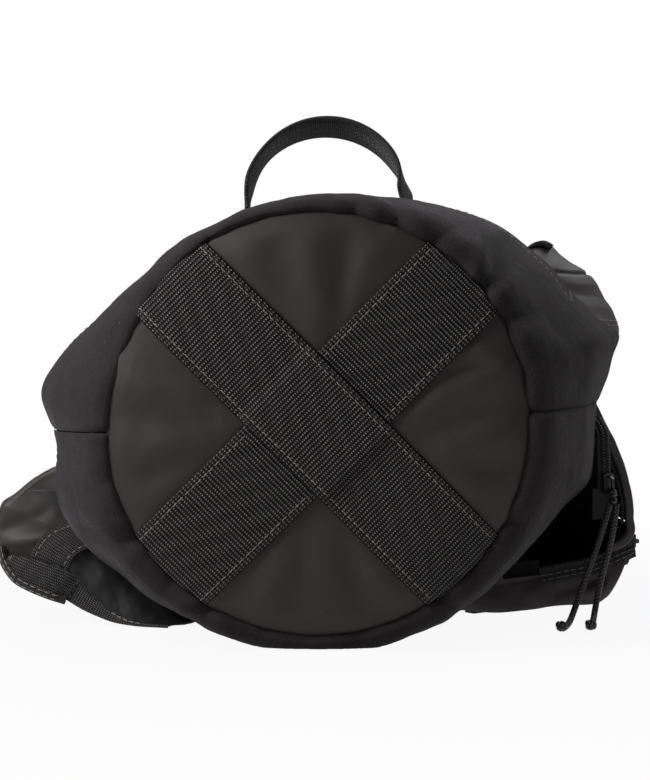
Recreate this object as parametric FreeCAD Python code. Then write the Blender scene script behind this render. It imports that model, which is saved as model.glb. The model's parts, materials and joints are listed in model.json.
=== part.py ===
import FreeCAD, Part
import math
import os
from FreeCAD import Vector

# Round-based soft rucksack lying on its back panel. X runs across the bag, Y along it from the
# round base at the front to the zipped mouth at the rear, Z up from the surface it lies on.
# Millimetres. The origin is the centre of the footprint, on that surface.

# Overall and clearances
bag_length = 420.0
half_width = 178.0
soft_gap = 0.3
cloth = 2.0
foam_wall = 5.0

# Round base
base_radius = 105.0
base_height = 112.0
dome_rise = 10.0
panel_thickness = 1.6
board_thickness = 1.5
board_inset = 8.0
binding_width = 8.0
seam_allowance = 12.0
binding_thickness = 2.0

# Webbing
webbing = 1.6
cross_strap_width = 50.0
cross_strap_ramp = 7.0
strap_webbing_width = 25.0
tab_width = 22.0

# Lower band and nylon body, as depths behind the base seam
band_depth = 98.0
band_rim = 14.0
band_mid = 45.0
body_start = 94.0
shoulder_start = 118.0
shoulder_end = 210.0
side_seam_height = 110.0

# Compartment under the body
pocket_front = 101.0
pocket_wing_end = 240.0
pocket_end = 385.0
pocket_floor = 10.0
pocket_wall = 2.5
body_underside = 46.0
pocket_panel_left = 118.0
pocket_panel_low = 120.0
pocket_panel_setback = 9.0
pocket_binding_width = 6.0
wing_roof_inset = 60.0
lining_thickness = 1.0
mouth_inset = 74.0
mouth_beyond = 122.0
back_foam_width = 160.0
back_foam_inset = 12.0
back_foam_corner = 20.0

# Zips
coil_width = 2.6
coil_height = 1.8
coil_gap = 1.0
tape_width = 7.0
tape_thickness = 0.8
slider_length = 11.0
slider_width = 8.0
slider_plate = 1.2
slider_channel = 2.4
slider_post = 0.6
slider_slit = 1.4
bridge_width = 2.0
bridge_height = 2.0
bridge_thickness = 1.0
bridge_reach = 4.0
puller_bar = 1.4
puller_eye = 4.9
puller_length = 18.0
puller_width = 7.0
puller_thickness = 1.2
puller_hole = 4.5

# Where the zips run
end_zip_half_length = 140.0
end_slider_inset = 14.0
side_zip_z = 43.5
lip_zip_inset = 56.0
lip_bend_inset = 28.0
lip_end_inset = 6.0
side_chain_top = (156.0, 118.0)
side_chain_low = (157.5, 71.0)
side_chain_depth = 91.0
side_zip_turn = 35.0
side_tape_near_band = 2.0
side_tape_far = 2.5

# Handle
handle_span = 100.0
handle_width = 25.0
handle_thickness = 4.4
handle_depth = 200.0
handle_lean = 14.0
handle_offset = 5.0
handle_leg = 3.0
handle_foot = 14.0
handle_taper = 14.0
patch_length = 40.0
label_thickness = 0.5

# Flap over the side zip, as distances in from that zip and heights
flap_leans = ((0.5, 62.0), (5.0, 84.0), (13.0, 104.0))
flap_bound_width = 5.0

# Webbing on the lower left corner, as distances in from that side and heights
tab_points = ((6.0, 35.0), (28.0, 27.0), (50.0, 19.0), (72.0, 12.0))
loop_points = ((20.0, 38.0), (31.0, 41.0), (41.0, 45.0))

# Bare labels
outer_label_inset = 18.0
outer_label_length = 20.0
outer_label_low = 62.0
outer_label_height = 10.0
inner_label_length = 14.0
inner_label_height = 18.0
inner_label_setback = 14.0

# Shoulder straps
strap_width = 56.0
strap_thickness = 9.4
strap_centre = 62.0
strap_start = 152.0
strap_end = 384.0
strap_splay = 38.0
strap_reach = 32.0
lock_length = 30.0
lock_width = 34.0
lock_thickness = 3.6
lock_slot = 5.0
lock_bar = 4.0
lock_seat = 2.6

# Pull cords
cord_diameter = 3.6
hitch_width = 9.0
hitch_length = 6.0
knot_length = 9.0
knot_diameter = 7.2

# Reach of a cutting box beyond every side
beyond = 400.0

strap_stack = 2 * webbing + 2 * soft_gap
seam_y = -bag_length / 2 + dome_rise + strap_stack
bridge_top = slider_channel / 2 + slider_plate + bridge_height + bridge_thickness
end_y = bag_length / 2 - bridge_top + cloth / 2
bar_height = slider_channel / 2 + slider_plate + soft_gap + puller_bar / 2
side_zip_x = half_width - bridge_top
lip_zip_start = half_width - lip_zip_inset
mouth_left = half_width - mouth_inset
wing_roof = half_width - wing_roof_inset


def depth(value):
    # a depth behind the base seam, as a row-frame Y
    return seam_y + value


def save(name, *solids):
    shape = solids[0] if len(solids) == 1 else Part.makeCompound(list(solids))
    shape.exportStep("parts/%s.step" % name)
    print("%-24s solids %d  volume %.0f  valid %s" % (
        name, len(shape.Solids), shape.Volume, shape.isValid()))


def box(low, high):
    return Part.makeBox(high[0] - low[0], high[1] - low[1], high[2] - low[2], Vector(*low))


def polygon_face(points):
    return Part.Face(Part.makePolygon(list(points) + [points[0]]))


def closed_outline(points, y):
    curve = Part.BSplineCurve()
    curve.interpolate([Vector(x, y, z) for x, z in points], PeriodicFlag=True)
    return Part.Wire([curve.toShape()])


def loft(sections):
    return Part.makeLoft([closed_outline(points, y) for points, y in sections], True, False)


def moved_in(points, distance, centre):
    # an outline drawn in towards its centre, or out when the distance is negative
    result = []
    for x, z in points:
        radius = math.hypot(x - centre[0], z - centre[1])
        share = (radius - distance) / radius
        result.append((centre[0] + (x - centre[0]) * share, centre[1] + (z - centre[1]) * share))
    return result


def moved_in_even(points, distance):
    # a closed outline offset square to its own line
    result = []
    for index, point in enumerate(points):
        before = points[index - 1]
        after = points[(index + 1) % len(points)]
        along = unit(before, after)
        result.append((point[0] - along[1] * distance, point[1] + along[0] * distance))
    return result


def mixed(first, second, share):
    return [(a[0] * (1 - share) + b[0] * share, a[1] * (1 - share) + b[1] * share)
            for a, b in zip(first, second)]


def ribbon(points, thickness, to_vector, sweep):
    # a strip of even thickness along a bent line, mitred at its corners, then swept to its width
    sides = ([], [])
    for index, point in enumerate(points):
        before = points[max(index - 1, 0)]
        after = points[min(index + 1, len(points) - 1)]
        directions = []
        if index > 0:
            directions.append(unit(before, point))
        if index < len(points) - 1:
            directions.append(unit(point, after))
        normal_x = -sum(d[1] for d in directions)
        normal_z = sum(d[0] for d in directions)
        size = math.hypot(normal_x, normal_z)
        normal = (normal_x / size, normal_z / size)
        mitre = normal[0] * -directions[0][1] + normal[1] * directions[0][0]
        for side, sign in zip(sides, (1, -1)):
            reach = sign * thickness / 2 / mitre
            side.append((point[0] + normal[0] * reach, point[1] + normal[1] * reach))
    outline = sides[0] + sides[1][::-1]
    return polygon_face([to_vector(*point) for point in outline]).extrude(sweep)


def unit(start, end):
    size = math.hypot(end[0] - start[0], end[1] - start[1])
    return ((end[0] - start[0]) / size, (end[1] - start[1]) / size)


def across(y):
    # puts a flat drawing in the X-Z plane at one Y
    return lambda x, z: Vector(x, y, z)


def set_down(shape, origin, travel, normal):
    # places a piece drawn along +X with its face to +Z
    travel = Vector(*travel).normalize()
    normal = Vector(*normal).normalize()
    side = normal.cross(travel)
    matrix = FreeCAD.Matrix(travel.x, side.x, normal.x, origin[0],
                            travel.y, side.y, normal.y, origin[1],
                            travel.z, side.z, normal.z, origin[2], 0, 0, 0, 1)
    placed = shape.copy()
    placed.Placement = FreeCAD.Placement(matrix)
    return placed


# Base ------------------------------------------------------------------------

dome_radius = (base_radius ** 2 + dome_rise ** 2) / (2 * dome_rise)
dome_centre = Vector(0, seam_y - dome_rise + dome_radius, base_height)


def base_cylinder(radius, front, back):
    return Part.makeCylinder(radius, back - front, Vector(0, front, base_height), Vector(0, 1, 0))


def dome(radius, offset):
    # the front of a ball, whose skin is the domed base set in by the offset
    ball = Part.makeSphere(dome_radius - offset, dome_centre)
    return ball.common(base_cylinder(radius, seam_y - 2 * dome_rise, seam_y))


def base_pieces():
    skin = dome(base_radius, 0).cut(dome(base_radius + 1, panel_thickness))
    foam_radius = base_radius - board_inset
    foam = dome(foam_radius, panel_thickness + soft_gap)
    board_front = seam_y + soft_gap
    board = base_cylinder(foam_radius, board_front, board_front + board_thickness)
    tape = base_cylinder(base_radius - soft_gap, seam_y + soft_gap, seam_y + binding_width)
    tape = tape.cut(base_cylinder(base_radius - binding_thickness, seam_y, seam_y + 2 * binding_width))
    save("base_panel", skin)
    save("base_foam", foam)
    save("base_board", board)
    save("base_seam_binding", tape)


def dome_height(along):
    return dome_rise - (dome_radius - math.sqrt(dome_radius ** 2 - along ** 2))


def cross_strap(angle, lift):
    # webbing laid over the dome and lifted where it crosses the strap below it
    flat = cross_strap_width / 2 + soft_gap
    reach = base_radius - soft_gap
    ramp_end = flat + cross_strap_ramp
    stations = [ramp_end + (reach - ramp_end) * step / 4 for step in range(5)] + [flat]
    outward = sorted(stations)
    line = []
    for along in [-s for s in outward[::-1]] + outward:
        height = dome_height(along)
        if abs(along) <= flat:
            height = dome_rise + lift
        line.append((along, height + soft_gap + webbing / 2))
    half = cross_strap_width / 2
    strip = ribbon(line, webbing, lambda a, h: Vector(a, -h, -half), Vector(0, 0, 2 * half))
    strip.rotate(Vector(0, 0, 0), Vector(0, 1, 0), angle)
    strip.translate(Vector(0, seam_y, base_height))
    return strip.common(base_cylinder(base_radius - soft_gap, seam_y - 40, seam_y + 10))


# Lower band ------------------------------------------------------------------

# rear edge of the band, walked round from the right side seam by way of the top
band_edge = [(151, 118), (162, 156), (131, 191), (82, 221), (0, 231), (-63, 211), (-117, 161),
             (-146, 128), (-140, 104), (-137, 68), (-100, 22), (-40, -1.5), (40, -1.5), (97, 31),
             (150, 75)]
band_centre = (4, 112)


def round_edge(radius):
    ring = []
    for x, z in band_edge:
        angle = math.atan2(z - band_centre[1], x - band_centre[0])
        ring.append((radius * math.cos(angle), base_height + radius * math.sin(angle)))
    return ring


def band_form(inset):
    # from the round seam the cloth rolls out over a full rim and slumps to the wider rear edge
    seam = moved_in(round_edge(base_radius + cloth + soft_gap), inset, (0, base_height))
    rim = moved_in(mixed(round_edge(base_radius + 9), band_edge, 0.22), inset, band_centre)
    middle = moved_in(mixed(round_edge(base_radius + 9), band_edge, 0.66), inset, band_centre)
    edge = moved_in(band_edge, inset, band_centre)
    return loft([(seam, depth(0)), (rim, depth(band_rim)), (middle, depth(band_mid)),
                 (edge, depth(band_depth))])


def above_table(shape, height):
    return shape.common(box((-beyond, -beyond, height), (beyond, beyond, beyond)))


def upper_part(shape, level):
    return shape.common(box((-beyond, -beyond, level + soft_gap / 2), (beyond, beyond, beyond)))


def lower_part(shape, level):
    return shape.common(box((-beyond, -beyond, 0), (beyond, beyond, level - soft_gap / 2)))


def band_pieces():
    wall = above_table(band_form(0), 0).cut(above_table(band_form(cloth), cloth))
    save("lower_band_top", upper_part(wall, side_seam_height))
    save("lower_band_under", lower_part(wall, side_seam_height))


# Nylon body ------------------------------------------------------------------

body_front = [(140, 118), (147, 149), (116, 180), (74, 209), (0, 221), (-56, 200), (-102, 152),
              (-130, 125), (-128, 104), (-111, 72), (-60, body_underside + 2),
              (0, body_underside), (60, body_underside + 2), (108, 64), (138, 88)]
body_shoulder = [(155, 118), (167, 160), (152, 190), (92, 219), (0, 227), (-70, 207), (-115, 158),
                 (-143, 131), (-143, 104), (-122, 70), (-66, body_underside + 2),
                 (0, body_underside), (66, body_underside + 2), (118, 66), (145, 90)]
body_mouth = [(166, 82), (160, 98), (134, 110), (80, 114), (0, 115), (-80, 114), (-134, 110),
              (-160, 98), (-166, 80), (-154, 58), (-80, body_underside + 1),
              (0, body_underside), (80, body_underside + 1), (150, 56), (163, 68)]
body_centre = (8, 130)
mouth_centre = (0, 80)


def body_form(inset, start, end):
    shoulder = moved_in(body_shoulder, inset, body_centre)
    slack = mixed(body_shoulder, body_mouth, 0.45)
    return loft([(moved_in(body_front, inset, body_centre), start),
                 (shoulder, depth(shoulder_start)),
                 (shoulder, depth(shoulder_end)),
                 (moved_in(slack, inset, (4, 108)), depth(shoulder_end + 90)),
                 (moved_in(body_mouth, inset, mouth_centre), end)])


def body_pieces():
    outer = body_form(0, depth(body_start), end_y)
    inner = body_form(cloth, depth(body_start), end_y)
    wall = outer.cut(inner)
    lining_gap = cloth + soft_gap
    lining_end = end_y - 3 * cloth
    lining = body_form(lining_gap, depth(body_start), lining_end)
    hollow = body_form(lining_gap + lining_thickness, depth(body_start), lining_end)
    seam = mouth_centre[1]
    save("body_upper_panel", upper_part(wall, seam))
    save("body_under_panel", lower_part(wall, seam))
    save("main_lining", lining.cut(hollow))


def band_seam_piece():
    # the turned-in edges of band and body, sewn together and bound inside the seam
    gap = cloth + soft_gap
    ring = above_table(band_form(gap), gap).cut(band_form(gap + seam_allowance))
    slab = box((-beyond, depth(band_depth - 1 - 2 * cloth), 0), (beyond, depth(band_depth - 1), beyond))
    save("band_seam_binding", ring.common(slab).cut(body_form(-soft_gap, depth(body_start), end_y)))


def side_pocket_pieces():
    # a flat slip pocket sewn on the upper right of the body, with a bound front edge
    front = depth(shoulder_start - pocket_panel_setback)
    back = depth(shoulder_end - pocket_panel_setback)
    skin = body_form(-soft_gap - panel_thickness, depth(body_start), end_y)
    skin = skin.cut(body_form(-soft_gap, depth(body_start), end_y))
    zone = box((pocket_panel_left, front, pocket_panel_low), (beyond, back, beyond))
    save("side_pocket_panel", skin.common(zone))
    edge = body_form(-soft_gap - panel_thickness - 1, depth(body_start), end_y)
    edge = edge.cut(body_form(-soft_gap, depth(body_start), end_y))
    strip = box((pocket_panel_left, front - soft_gap - pocket_binding_width, pocket_panel_low),
                (beyond, front - soft_gap, beyond))
    save("side_pocket_binding", edge.common(strip))


# Zips ------------------------------------------------------------------------

chain_half = coil_gap / 2 + coil_width
zip_half = chain_half + soft_gap + tape_width


def chain(length):
    # two coils side by side, drawn along +X from the origin
    rows = []
    for sign in (-1, 1):
        middle = sign * (coil_gap + coil_width) / 2
        row = box((0, middle - coil_width / 2, -coil_height / 2),
                  (length, middle + coil_width / 2, coil_height / 2))
        rows.append(row)
    return rows


def tapes(length):
    rows = []
    for sign in (-1, 1):
        near = sign * (chain_half + 0.05)
        far = sign * zip_half
        rows.append(box((0, min(near, far), -tape_thickness / 2),
                        (length, max(near, far), tape_thickness / 2)))
    return rows


def slider_form():
    # two plates with turned flanges, joined by a post at the nose, and a bridge for the puller
    half_l = slider_length / 2
    half_w = slider_width / 2
    inner = slider_channel / 2
    outer = inner + slider_plate
    plate = box((-half_l, -half_w, inner), (half_l, half_w, outer))
    corners = [e for e in plate.Edges if abs(e.Vertexes[0].Z - e.Vertexes[-1].Z) > slider_plate / 2]
    plate = plate.makeFillet(2.0, corners)
    flange_z = slider_slit / 2
    flange = box((-half_l + 2, half_w - 0.6, flange_z), (half_l - 2, half_w, inner + 0.2))
    top = plate.fuse([flange, flange.mirror(Vector(0, 0, 0), Vector(0, 1, 0))])
    bottom = top.mirror(Vector(0, 0, 0), Vector(0, 0, 1))
    post = box((half_l - 4, -slider_post / 2, -inner - 0.2), (half_l - 0.6, slider_post / 2, inner + 0.2))
    crown = outer + bridge_height
    arch = [(-bridge_reach, outer - 0.3), (-bridge_reach, outer + 0.6 * bridge_height),
            (-bridge_reach + 1.2, crown), (bridge_reach - 1.2, crown),
            (bridge_reach, outer + 0.6 * bridge_height), (bridge_reach, outer - 0.3)]
    arch = [(x - math.copysign(bridge_thickness / 2, x), z + bridge_thickness / 2 * (z >= crown))
            for x, z in arch]
    bridge = ribbon(arch, bridge_thickness, lambda x, z: Vector(x, -bridge_width / 2, z),
                    Vector(0, bridge_width, 0))
    return top.fuse([bottom, post, bridge]).removeSplitter()


def puller_form():
    # a flat tab whose eye runs round the bridge, with a round bar under it
    arm = (puller_width - bridge_width - 2 * soft_gap) / 2
    low = bar_height - puller_thickness / 2
    high = bar_height + puller_thickness / 2
    tab = box((-puller_eye - puller_length, -puller_width / 2, low), (-0.0, puller_width / 2, high))
    ends = [e for e in tab.Edges if abs(e.Vertexes[0].Z - e.Vertexes[-1].Z) > puller_thickness / 2
            and e.CenterOfMass.x < -puller_eye]
    tab = tab.makeFillet(puller_width / 2 - 0.4, ends)
    eye = box((-puller_eye, -puller_width / 2 + arm, low - 1), (1, puller_width / 2 - arm, high + 1))
    hole_place = Vector(puller_hole - puller_eye - puller_length, 0, low - 1)
    hole = Part.makeCylinder(puller_width / 4, 4, hole_place)
    bar = Part.makeCylinder(puller_bar / 2, puller_width, Vector(0, -puller_width / 2, bar_height),
                            Vector(0, 1, 0))
    return tab.cut(eye).cut(hole).fuse(bar).removeSplitter()


def mouth_pieces():
    # the flat zipped panel that closes the mouth
    height = mouth_centre[1]
    end_zip_y = end_y - cloth / 2
    outline = moved_in(body_mouth, cloth + soft_gap, mouth_centre)
    panel = Part.Face(closed_outline(outline, end_y - cloth)).extrude(Vector(0, cloth, 0))
    slot_half = zip_half + soft_gap
    slot = box((-end_zip_half_length - soft_gap, end_y - 9, height - slot_half),
               (end_zip_half_length + soft_gap, end_y + 9, height + slot_half))
    save("end_panel", panel.cut(slot))
    start = (-end_zip_half_length, end_zip_y, height)
    length = 2 * end_zip_half_length
    save("end_zip_chain", *[set_down(s, start, (1, 0, 0), (0, 1, 0)) for s in chain(length)])
    save("end_zip_tape", *[set_down(s, start, (1, 0, 0), (0, 1, 0)) for s in tapes(length)])
    place = (end_zip_half_length - end_slider_inset, end_zip_y, height)
    save("end_zip_slider", set_down(slider_form(), place, (1, 0, 0), (0, 1, 0)))
    save("end_zip_puller", set_down(puller_form(), place, (1, 0, 0), (0, 1, 0)))


# Compartment under the body --------------------------------------------------

def pocket_outline(inset):
    # a flat floor that curls up into a wing at each side of the body
    half = [(0, 0), (50, 0), (100, 0.5), (142, 2.5), (half_width - 16, 8), (half_width - 6, 18),
            (half_width - 1, 30), (half_width, 40), (half_width - 5, 53), (half_width - 24, 67),
            (half_width - 56, 79), (70, 85), (0, 85)]
    right = [(x, pocket_floor + z) for x, z in half]
    left = [(-x, z) for x, z in right[-2:0:-1]]
    return moved_in_even(right + left, inset)


def pocket_form(inset, front, wing_end, end):
    face = Part.Face(closed_outline(pocket_outline(inset), front))
    wings = face.extrude(Vector(0, wing_end - front, 0))
    flat = face.extrude(Vector(0, end - front, 0))
    flat = flat.common(box((-beyond, front, -10), (beyond, end, body_underside - 1 - inset)))
    return wings.fuse(flat)


def pocket_pieces():
    grown = body_form(-soft_gap, depth(body_start), end_y)
    solid = pocket_form(0, depth(pocket_front), depth(pocket_wing_end), depth(pocket_end)).cut(grown)
    roofed = body_form(-soft_gap - pocket_wall, depth(body_start), end_y)
    room = pocket_form(pocket_wall, depth(pocket_front + pocket_wall),
                       depth(pocket_wing_end - pocket_wall), depth(pocket_end - pocket_wall))
    shell = solid.cut(room.cut(roofed))
    # the zipped side stands open at the front right, above the lip
    upper = polygon_face([across(depth(pocket_front) - 5)(*p) for p in mouth_outline()])
    shell = shell.cut(upper.extrude(Vector(0, pocket_wall + 6, 0)))
    flap_room = box((wing_roof, depth(pocket_front + pocket_wall), side_zip_z - zip_half - soft_gap),
                    (beyond, depth(pocket_wing_end - pocket_wall), beyond))
    shell = shell.cut(flap_room)
    save("compartment_shell", shell)
    foam_low = pocket_floor + pocket_wall + soft_gap
    foam = box((-back_foam_width / 2, depth(pocket_front + back_foam_inset), foam_low),
               (back_foam_width / 2, depth(pocket_end - back_foam_inset), foam_low + foam_wall))
    rounded = [e for e in foam.Edges if abs(e.Vertexes[0].Z - e.Vertexes[-1].Z) > foam_wall / 2]
    save("back_foam", foam.makeFillet(back_foam_corner, rounded))


def lip_line():
    # upper edge of the lower zip half, rising to the right
    return [(lip_zip_start, 26), (half_width - lip_bend_inset, 32.5), (side_zip_x - lip_end_inset, 38)]


def mouth_outline():
    # the open mouth in the front wall, from the end tab of the zip to beyond the right side
    lip = lip_line()
    top = body_underside - 3.5
    outside = half_width + mouth_beyond
    return [(mouth_left, 22)] + lip + [(outside, 38), (outside, 130), (side_zip_x - 45, 64),
                                       (mouth_left + 1, top), (mouth_left, top)]


flap_line = [(side_zip_x - flap_leans[0][0], side_zip_z + zip_half + 2 * soft_gap)]
flap_line += [(side_zip_x - lean, height) for lean, height in flap_leans]


def flap_pieces():
    front = depth(pocket_front)
    back = depth(pocket_wing_end - pocket_wall) - soft_gap
    wall = ribbon(flap_line, foam_wall, across(front), Vector(0, back - front, 0))
    save("compartment_flap", wall)
    bound = ribbon([(flap_line[0][0], side_zip_z - slider_width / 2)] + flap_line, foam_wall + 2 * webbing,
                   across(front - soft_gap - flap_bound_width), Vector(0, flap_bound_width, 0))
    save("flap_binding", bound)
    travel = (0, 1, 0)
    start = (side_zip_x, front + pocket_wall + soft_gap, side_zip_z)
    length = back - start[1]
    rows = [set_down(s, start, travel, (1, 0, 0)) for s in chain(length)]
    save("compartment_zip_chain", *rows)
    save("compartment_zip_tape", *[set_down(s, start, travel, (1, 0, 0)) for s in tapes(length)])
    place = (side_zip_x, start[1] + slider_length / 2, side_zip_z)
    save("compartment_zip_slider", set_down(slider_form(), place, (0, -1, 0), (1, 0, 0)))
    save("compartment_zip_puller", set_down(puller_form(), place, (0, -1, 0), (1, 0, 0)))


def open_zip_pieces():
    # the two halves of the open zip: one along the lip, one on the flap's inner face
    lip = [(x, z - tape_width / 2 - coil_width) for x, z in lip_line()]
    y = depth(pocket_front) - soft_gap - tape_thickness
    tape = ribbon(lip, tape_width, across(y), Vector(0, tape_thickness, 0))
    rows = [(x, z + tape_width / 2 + coil_width / 2 + 0.1) for x, z in lip]
    coil = ribbon(rows, coil_width, across(y + tape_thickness - coil_height), Vector(0, coil_height, 0))
    save("lip_zip_half", tape, coil)
    lean = (flap_line[-2][0] - flap_line[-1][0]) / (flap_line[-1][1] - flap_line[-2][1])
    inner = (foam_wall / 2 + webbing + soft_gap + coil_height / 2) * math.hypot(1, lean)
    line = [(x - inner, z) for x, z in flap_line]
    front = depth(pocket_front) - 3
    tape = ribbon(line, tape_thickness, across(front), Vector(0, tape_width, 0))
    coil = ribbon(line, coil_height, across(front - coil_width - 0.1), Vector(0, coil_width, 0))
    save("flap_zip_half", tape, coil)
    end = lip_line()[0]
    tab = box((mouth_left - soft_gap, y - webbing, end[1] - 8), (end[0] - soft_gap, y, end[1] + 1.5))
    save("zip_end_tab", tab)


# Side zip with its cord pull -------------------------------------------------

def side_frame():
    # the zip's direction of travel, and the way its face looks: forwards, turned to the right
    travel = Vector(side_chain_top[0] - side_chain_low[0], 0, side_chain_top[1] - side_chain_low[1])
    travel.normalize()
    turn = math.radians(side_zip_turn)
    return travel, Vector(math.cos(turn), math.sin(turn), 0).cross(travel).normalize()


def side_slider_place():
    low = Vector(side_chain_low[0], depth(side_chain_depth), side_chain_low[1])
    return low + side_frame()[0] * (slider_length / 2 + soft_gap)


def side_zip_pieces():
    travel, normal = side_frame()
    start = Vector(side_chain_low[0], depth(side_chain_depth), side_chain_low[1])
    length = math.hypot(side_chain_top[0] - side_chain_low[0], side_chain_top[1] - side_chain_low[1])
    save("side_zip_chain", *[set_down(s, start, travel, normal) for s in chain(length)])
    near = chain_half + side_tape_near_band
    far = chain_half + side_tape_far
    narrow = [t.common(box((0, -far, -9), (length, near, 9))) for t in tapes(length)]
    save("side_zip_tape", *[set_down(s, start, travel, normal) for s in narrow])
    save("side_zip_slider", set_down(slider_form(), side_slider_place(), travel * -1, normal))


# Grab handle -----------------------------------------------------------------

def top_of_body(x):
    # height of the body's upper surface over a point of the shoulder outline
    section = body_form(0, depth(body_start), end_y)
    line = Part.makeLine(Vector(x, depth(handle_depth), 150), Vector(x, depth(handle_depth), 300))
    return section.common(line).BoundBox.ZMax


def handle_form():
    # doubled webbing bent to an arch, narrowed at its feet so that it can swing over the body
    radius = handle_span / 2
    half = handle_width / 2
    ring = Part.makeCylinder(radius, handle_width, Vector(0, -half, handle_leg), Vector(0, 1, 0))
    ring = ring.fuse(box((-radius, -half, 0), (radius, half, handle_leg)))
    hollow = Part.makeCylinder(radius - handle_thickness, handle_width, Vector(0, -half, handle_leg),
                               Vector(0, 1, 0))
    hollow = hollow.fuse(box((handle_thickness - radius, -half, -1),
                             (radius - handle_thickness, half, handle_leg)))
    foot_half = handle_foot / 2
    outline = [Vector(-radius - 1, y, z) for y, z in (
        (-foot_half, 0), (foot_half, 0), (half, handle_taper), (half, 2 * radius),
        (-half, 2 * radius), (-half, handle_taper))]
    web = ring.cut(hollow).common(polygon_face(outline).extrude(Vector(2 * radius + 2, 0, 0)))
    for left in (-radius, radius - handle_thickness):
        web = web.fuse(Part.makeCylinder(foot_half, handle_thickness, Vector(left, 0, 0), Vector(1, 0, 0)))
    return web.removeSplitter()


def handle_pieces():
    feet = [handle_offset + sign * (handle_span - handle_thickness) / 2 for sign in (-1, 1)]
    seat = max(top_of_body(x) for x in feet)
    pivot_z = seat + panel_thickness + 2 * soft_gap + handle_foot / 2
    pivot = Vector(handle_offset, depth(handle_depth), pivot_z)
    handle = handle_form()
    handle.rotate(Vector(0, 0, 0), Vector(1, 0, 0), -handle_lean)
    handle.translate(pivot)
    save("grab_handle", handle)
    skin = body_form(-soft_gap - panel_thickness, depth(body_start), end_y)
    skin = skin.cut(body_form(-soft_gap, depth(body_start), end_y))
    half = handle_width / 2 + 3
    patches = [skin.common(box((x - patch_length / 2, depth(handle_depth) - half, 150),
                               (x + patch_length / 2, depth(handle_depth) + half, beyond))) for x in feet]
    save("handle_patches", *patches)


# Shoulder straps -------------------------------------------------------------

def strap_pieces():
    # padded straps with round lower ends, whose webbing runs out to the bag's lower corners
    round_end = strap_width / 2
    for name, side in (("left", -1), ("right", 1)):
        centre = side * strap_centre
        turn_y = depth(strap_start) + round_end
        pad = box((centre - round_end, turn_y, 0), (centre + round_end, depth(strap_end), strap_thickness))
        pad = pad.fuse(Part.makeCylinder(round_end, strap_thickness, Vector(centre, turn_y, 0)))
        save("shoulder_strap_" + name, pad.removeSplitter())
        lock_front = depth(strap_start) - soft_gap - lock_length
        for piece, shape in (("ladder_lock_", lock_form(centre, lock_front)),
                             ("strap_webbing_", lock_webbing(centre, lock_front))):
            shape.rotate(Vector(centre, turn_y, 0), Vector(0, 0, 1), side * strap_splay)
            save(piece + name, shape)


def lock_form(centre, front):
    # an adjuster frame with two slots and the bar that the webbing turns round
    low = lock_seat
    plate = box((centre - lock_width / 2, front, low),
                (centre + lock_width / 2, front + lock_length, low + lock_thickness))
    corners = [e for e in plate.Edges if abs(e.Vertexes[0].Z - e.Vertexes[-1].Z) > lock_thickness / 2]
    plate = plate.makeFillet(3, corners)
    half = strap_webbing_width / 2 + 2 * soft_gap
    for start in lock_slots(front):
        plate = plate.cut(box((centre - half, start, low - 1), (centre + half, start + lock_slot, low + 9)))
    lip = box((centre - half, front, low + lock_thickness - 0.5),
              (centre + half, front + 3, low + lock_thickness + 1))
    return plate.fuse(lip).removeSplitter()


def lock_slots(front):
    return (front + lock_bar, front + 2 * lock_bar + lock_slot, front + lock_length - lock_bar - lock_slot)


def lock_webbing(centre, front):
    # webbing that comes up through one slot, over the bar and down the next, its far end rising
    slots = lock_slots(front)
    under = lock_seat - soft_gap - webbing / 2
    over = lock_seat + lock_thickness + soft_gap + webbing / 2
    first = slots[0] + lock_slot / 2
    second = slots[1] + lock_slot / 2
    line = [(front - strap_reach, pocket_floor - webbing / 2 - soft_gap), (front, under), (first, under),
            (first, over), (second, over), (second, under), (second + 6, under)]
    half = strap_webbing_width / 2
    return ribbon(line, webbing, lambda y, z: Vector(centre - half, y, z), Vector(2 * half, 0, 0))


# Corner tabs, loop and bare labels ------------------------------------------

def corner_pieces():
    # webbing sewn on the lower left front corner: a wide tab with a loop over its upper end
    front = depth(pocket_front) - soft_gap
    line = [(inset - half_width, height) for inset, height in tab_points]
    save("corner_tab_left", ribbon(line, tab_width, across(front - webbing), Vector(0, webbing, 0)))
    back = front - webbing - soft_gap
    loop_line = [(inset - half_width, height) for inset, height in loop_points]
    outer = ribbon(loop_line, tab_width, across(back - 2 * webbing - soft_gap), Vector(0, webbing, 0))
    inner = ribbon(loop_line, tab_width, across(back - webbing), Vector(0, webbing, 0))
    save("side_loop_left", outer, inner)
    label_left = outer_label_inset - half_width
    save("outer_label", box((label_left, front - label_thickness, outer_label_low),
                            (label_left + outer_label_length, front, outer_label_low + outer_label_height)))
    tag_right = flap_line[0][0] - foam_wall
    tag_low = flap_line[0][1]
    tag_y = depth(pocket_front + inner_label_setback)
    save("inner_label", box((tag_right - inner_label_length, tag_y, tag_low),
                            (tag_right, tag_y + label_thickness, tag_low + inner_label_height)))


# Pull cords ------------------------------------------------------------------

def tube(points, diameter):
    # straight runs joined by tangent arcs, each as large as its two runs allow
    edges = []
    start = points[0]
    for index in range(1, len(points) - 1):
        before = (points[index] - points[index - 1])
        after = (points[index + 1] - points[index])
        shorter = min(before.Length, after.Length)
        turn = before.getAngle(after)
        cut = 0.45 * shorter
        radius = cut / math.tan(turn / 2)
        first = points[index] - before.normalize() * cut
        last = points[index] + after.normalize() * cut
        towards = ((first + last) * 0.5 - points[index]).normalize()
        middle = points[index] + towards * (radius / math.cos(turn / 2) - radius)
        edges.append(Part.makeLine(start, first))
        edges.append(Part.Arc(first, middle, last).toShape())
        start = last
    edges.append(Part.makeLine(start, points[-1]))
    path = Part.Wire(edges)
    direction = points[1] - points[0]
    ring = Part.Wire([Part.makeCircle(diameter / 2, points[0], direction)])
    solid = path.makePipeShell([ring], True, False)
    return solid


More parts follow.
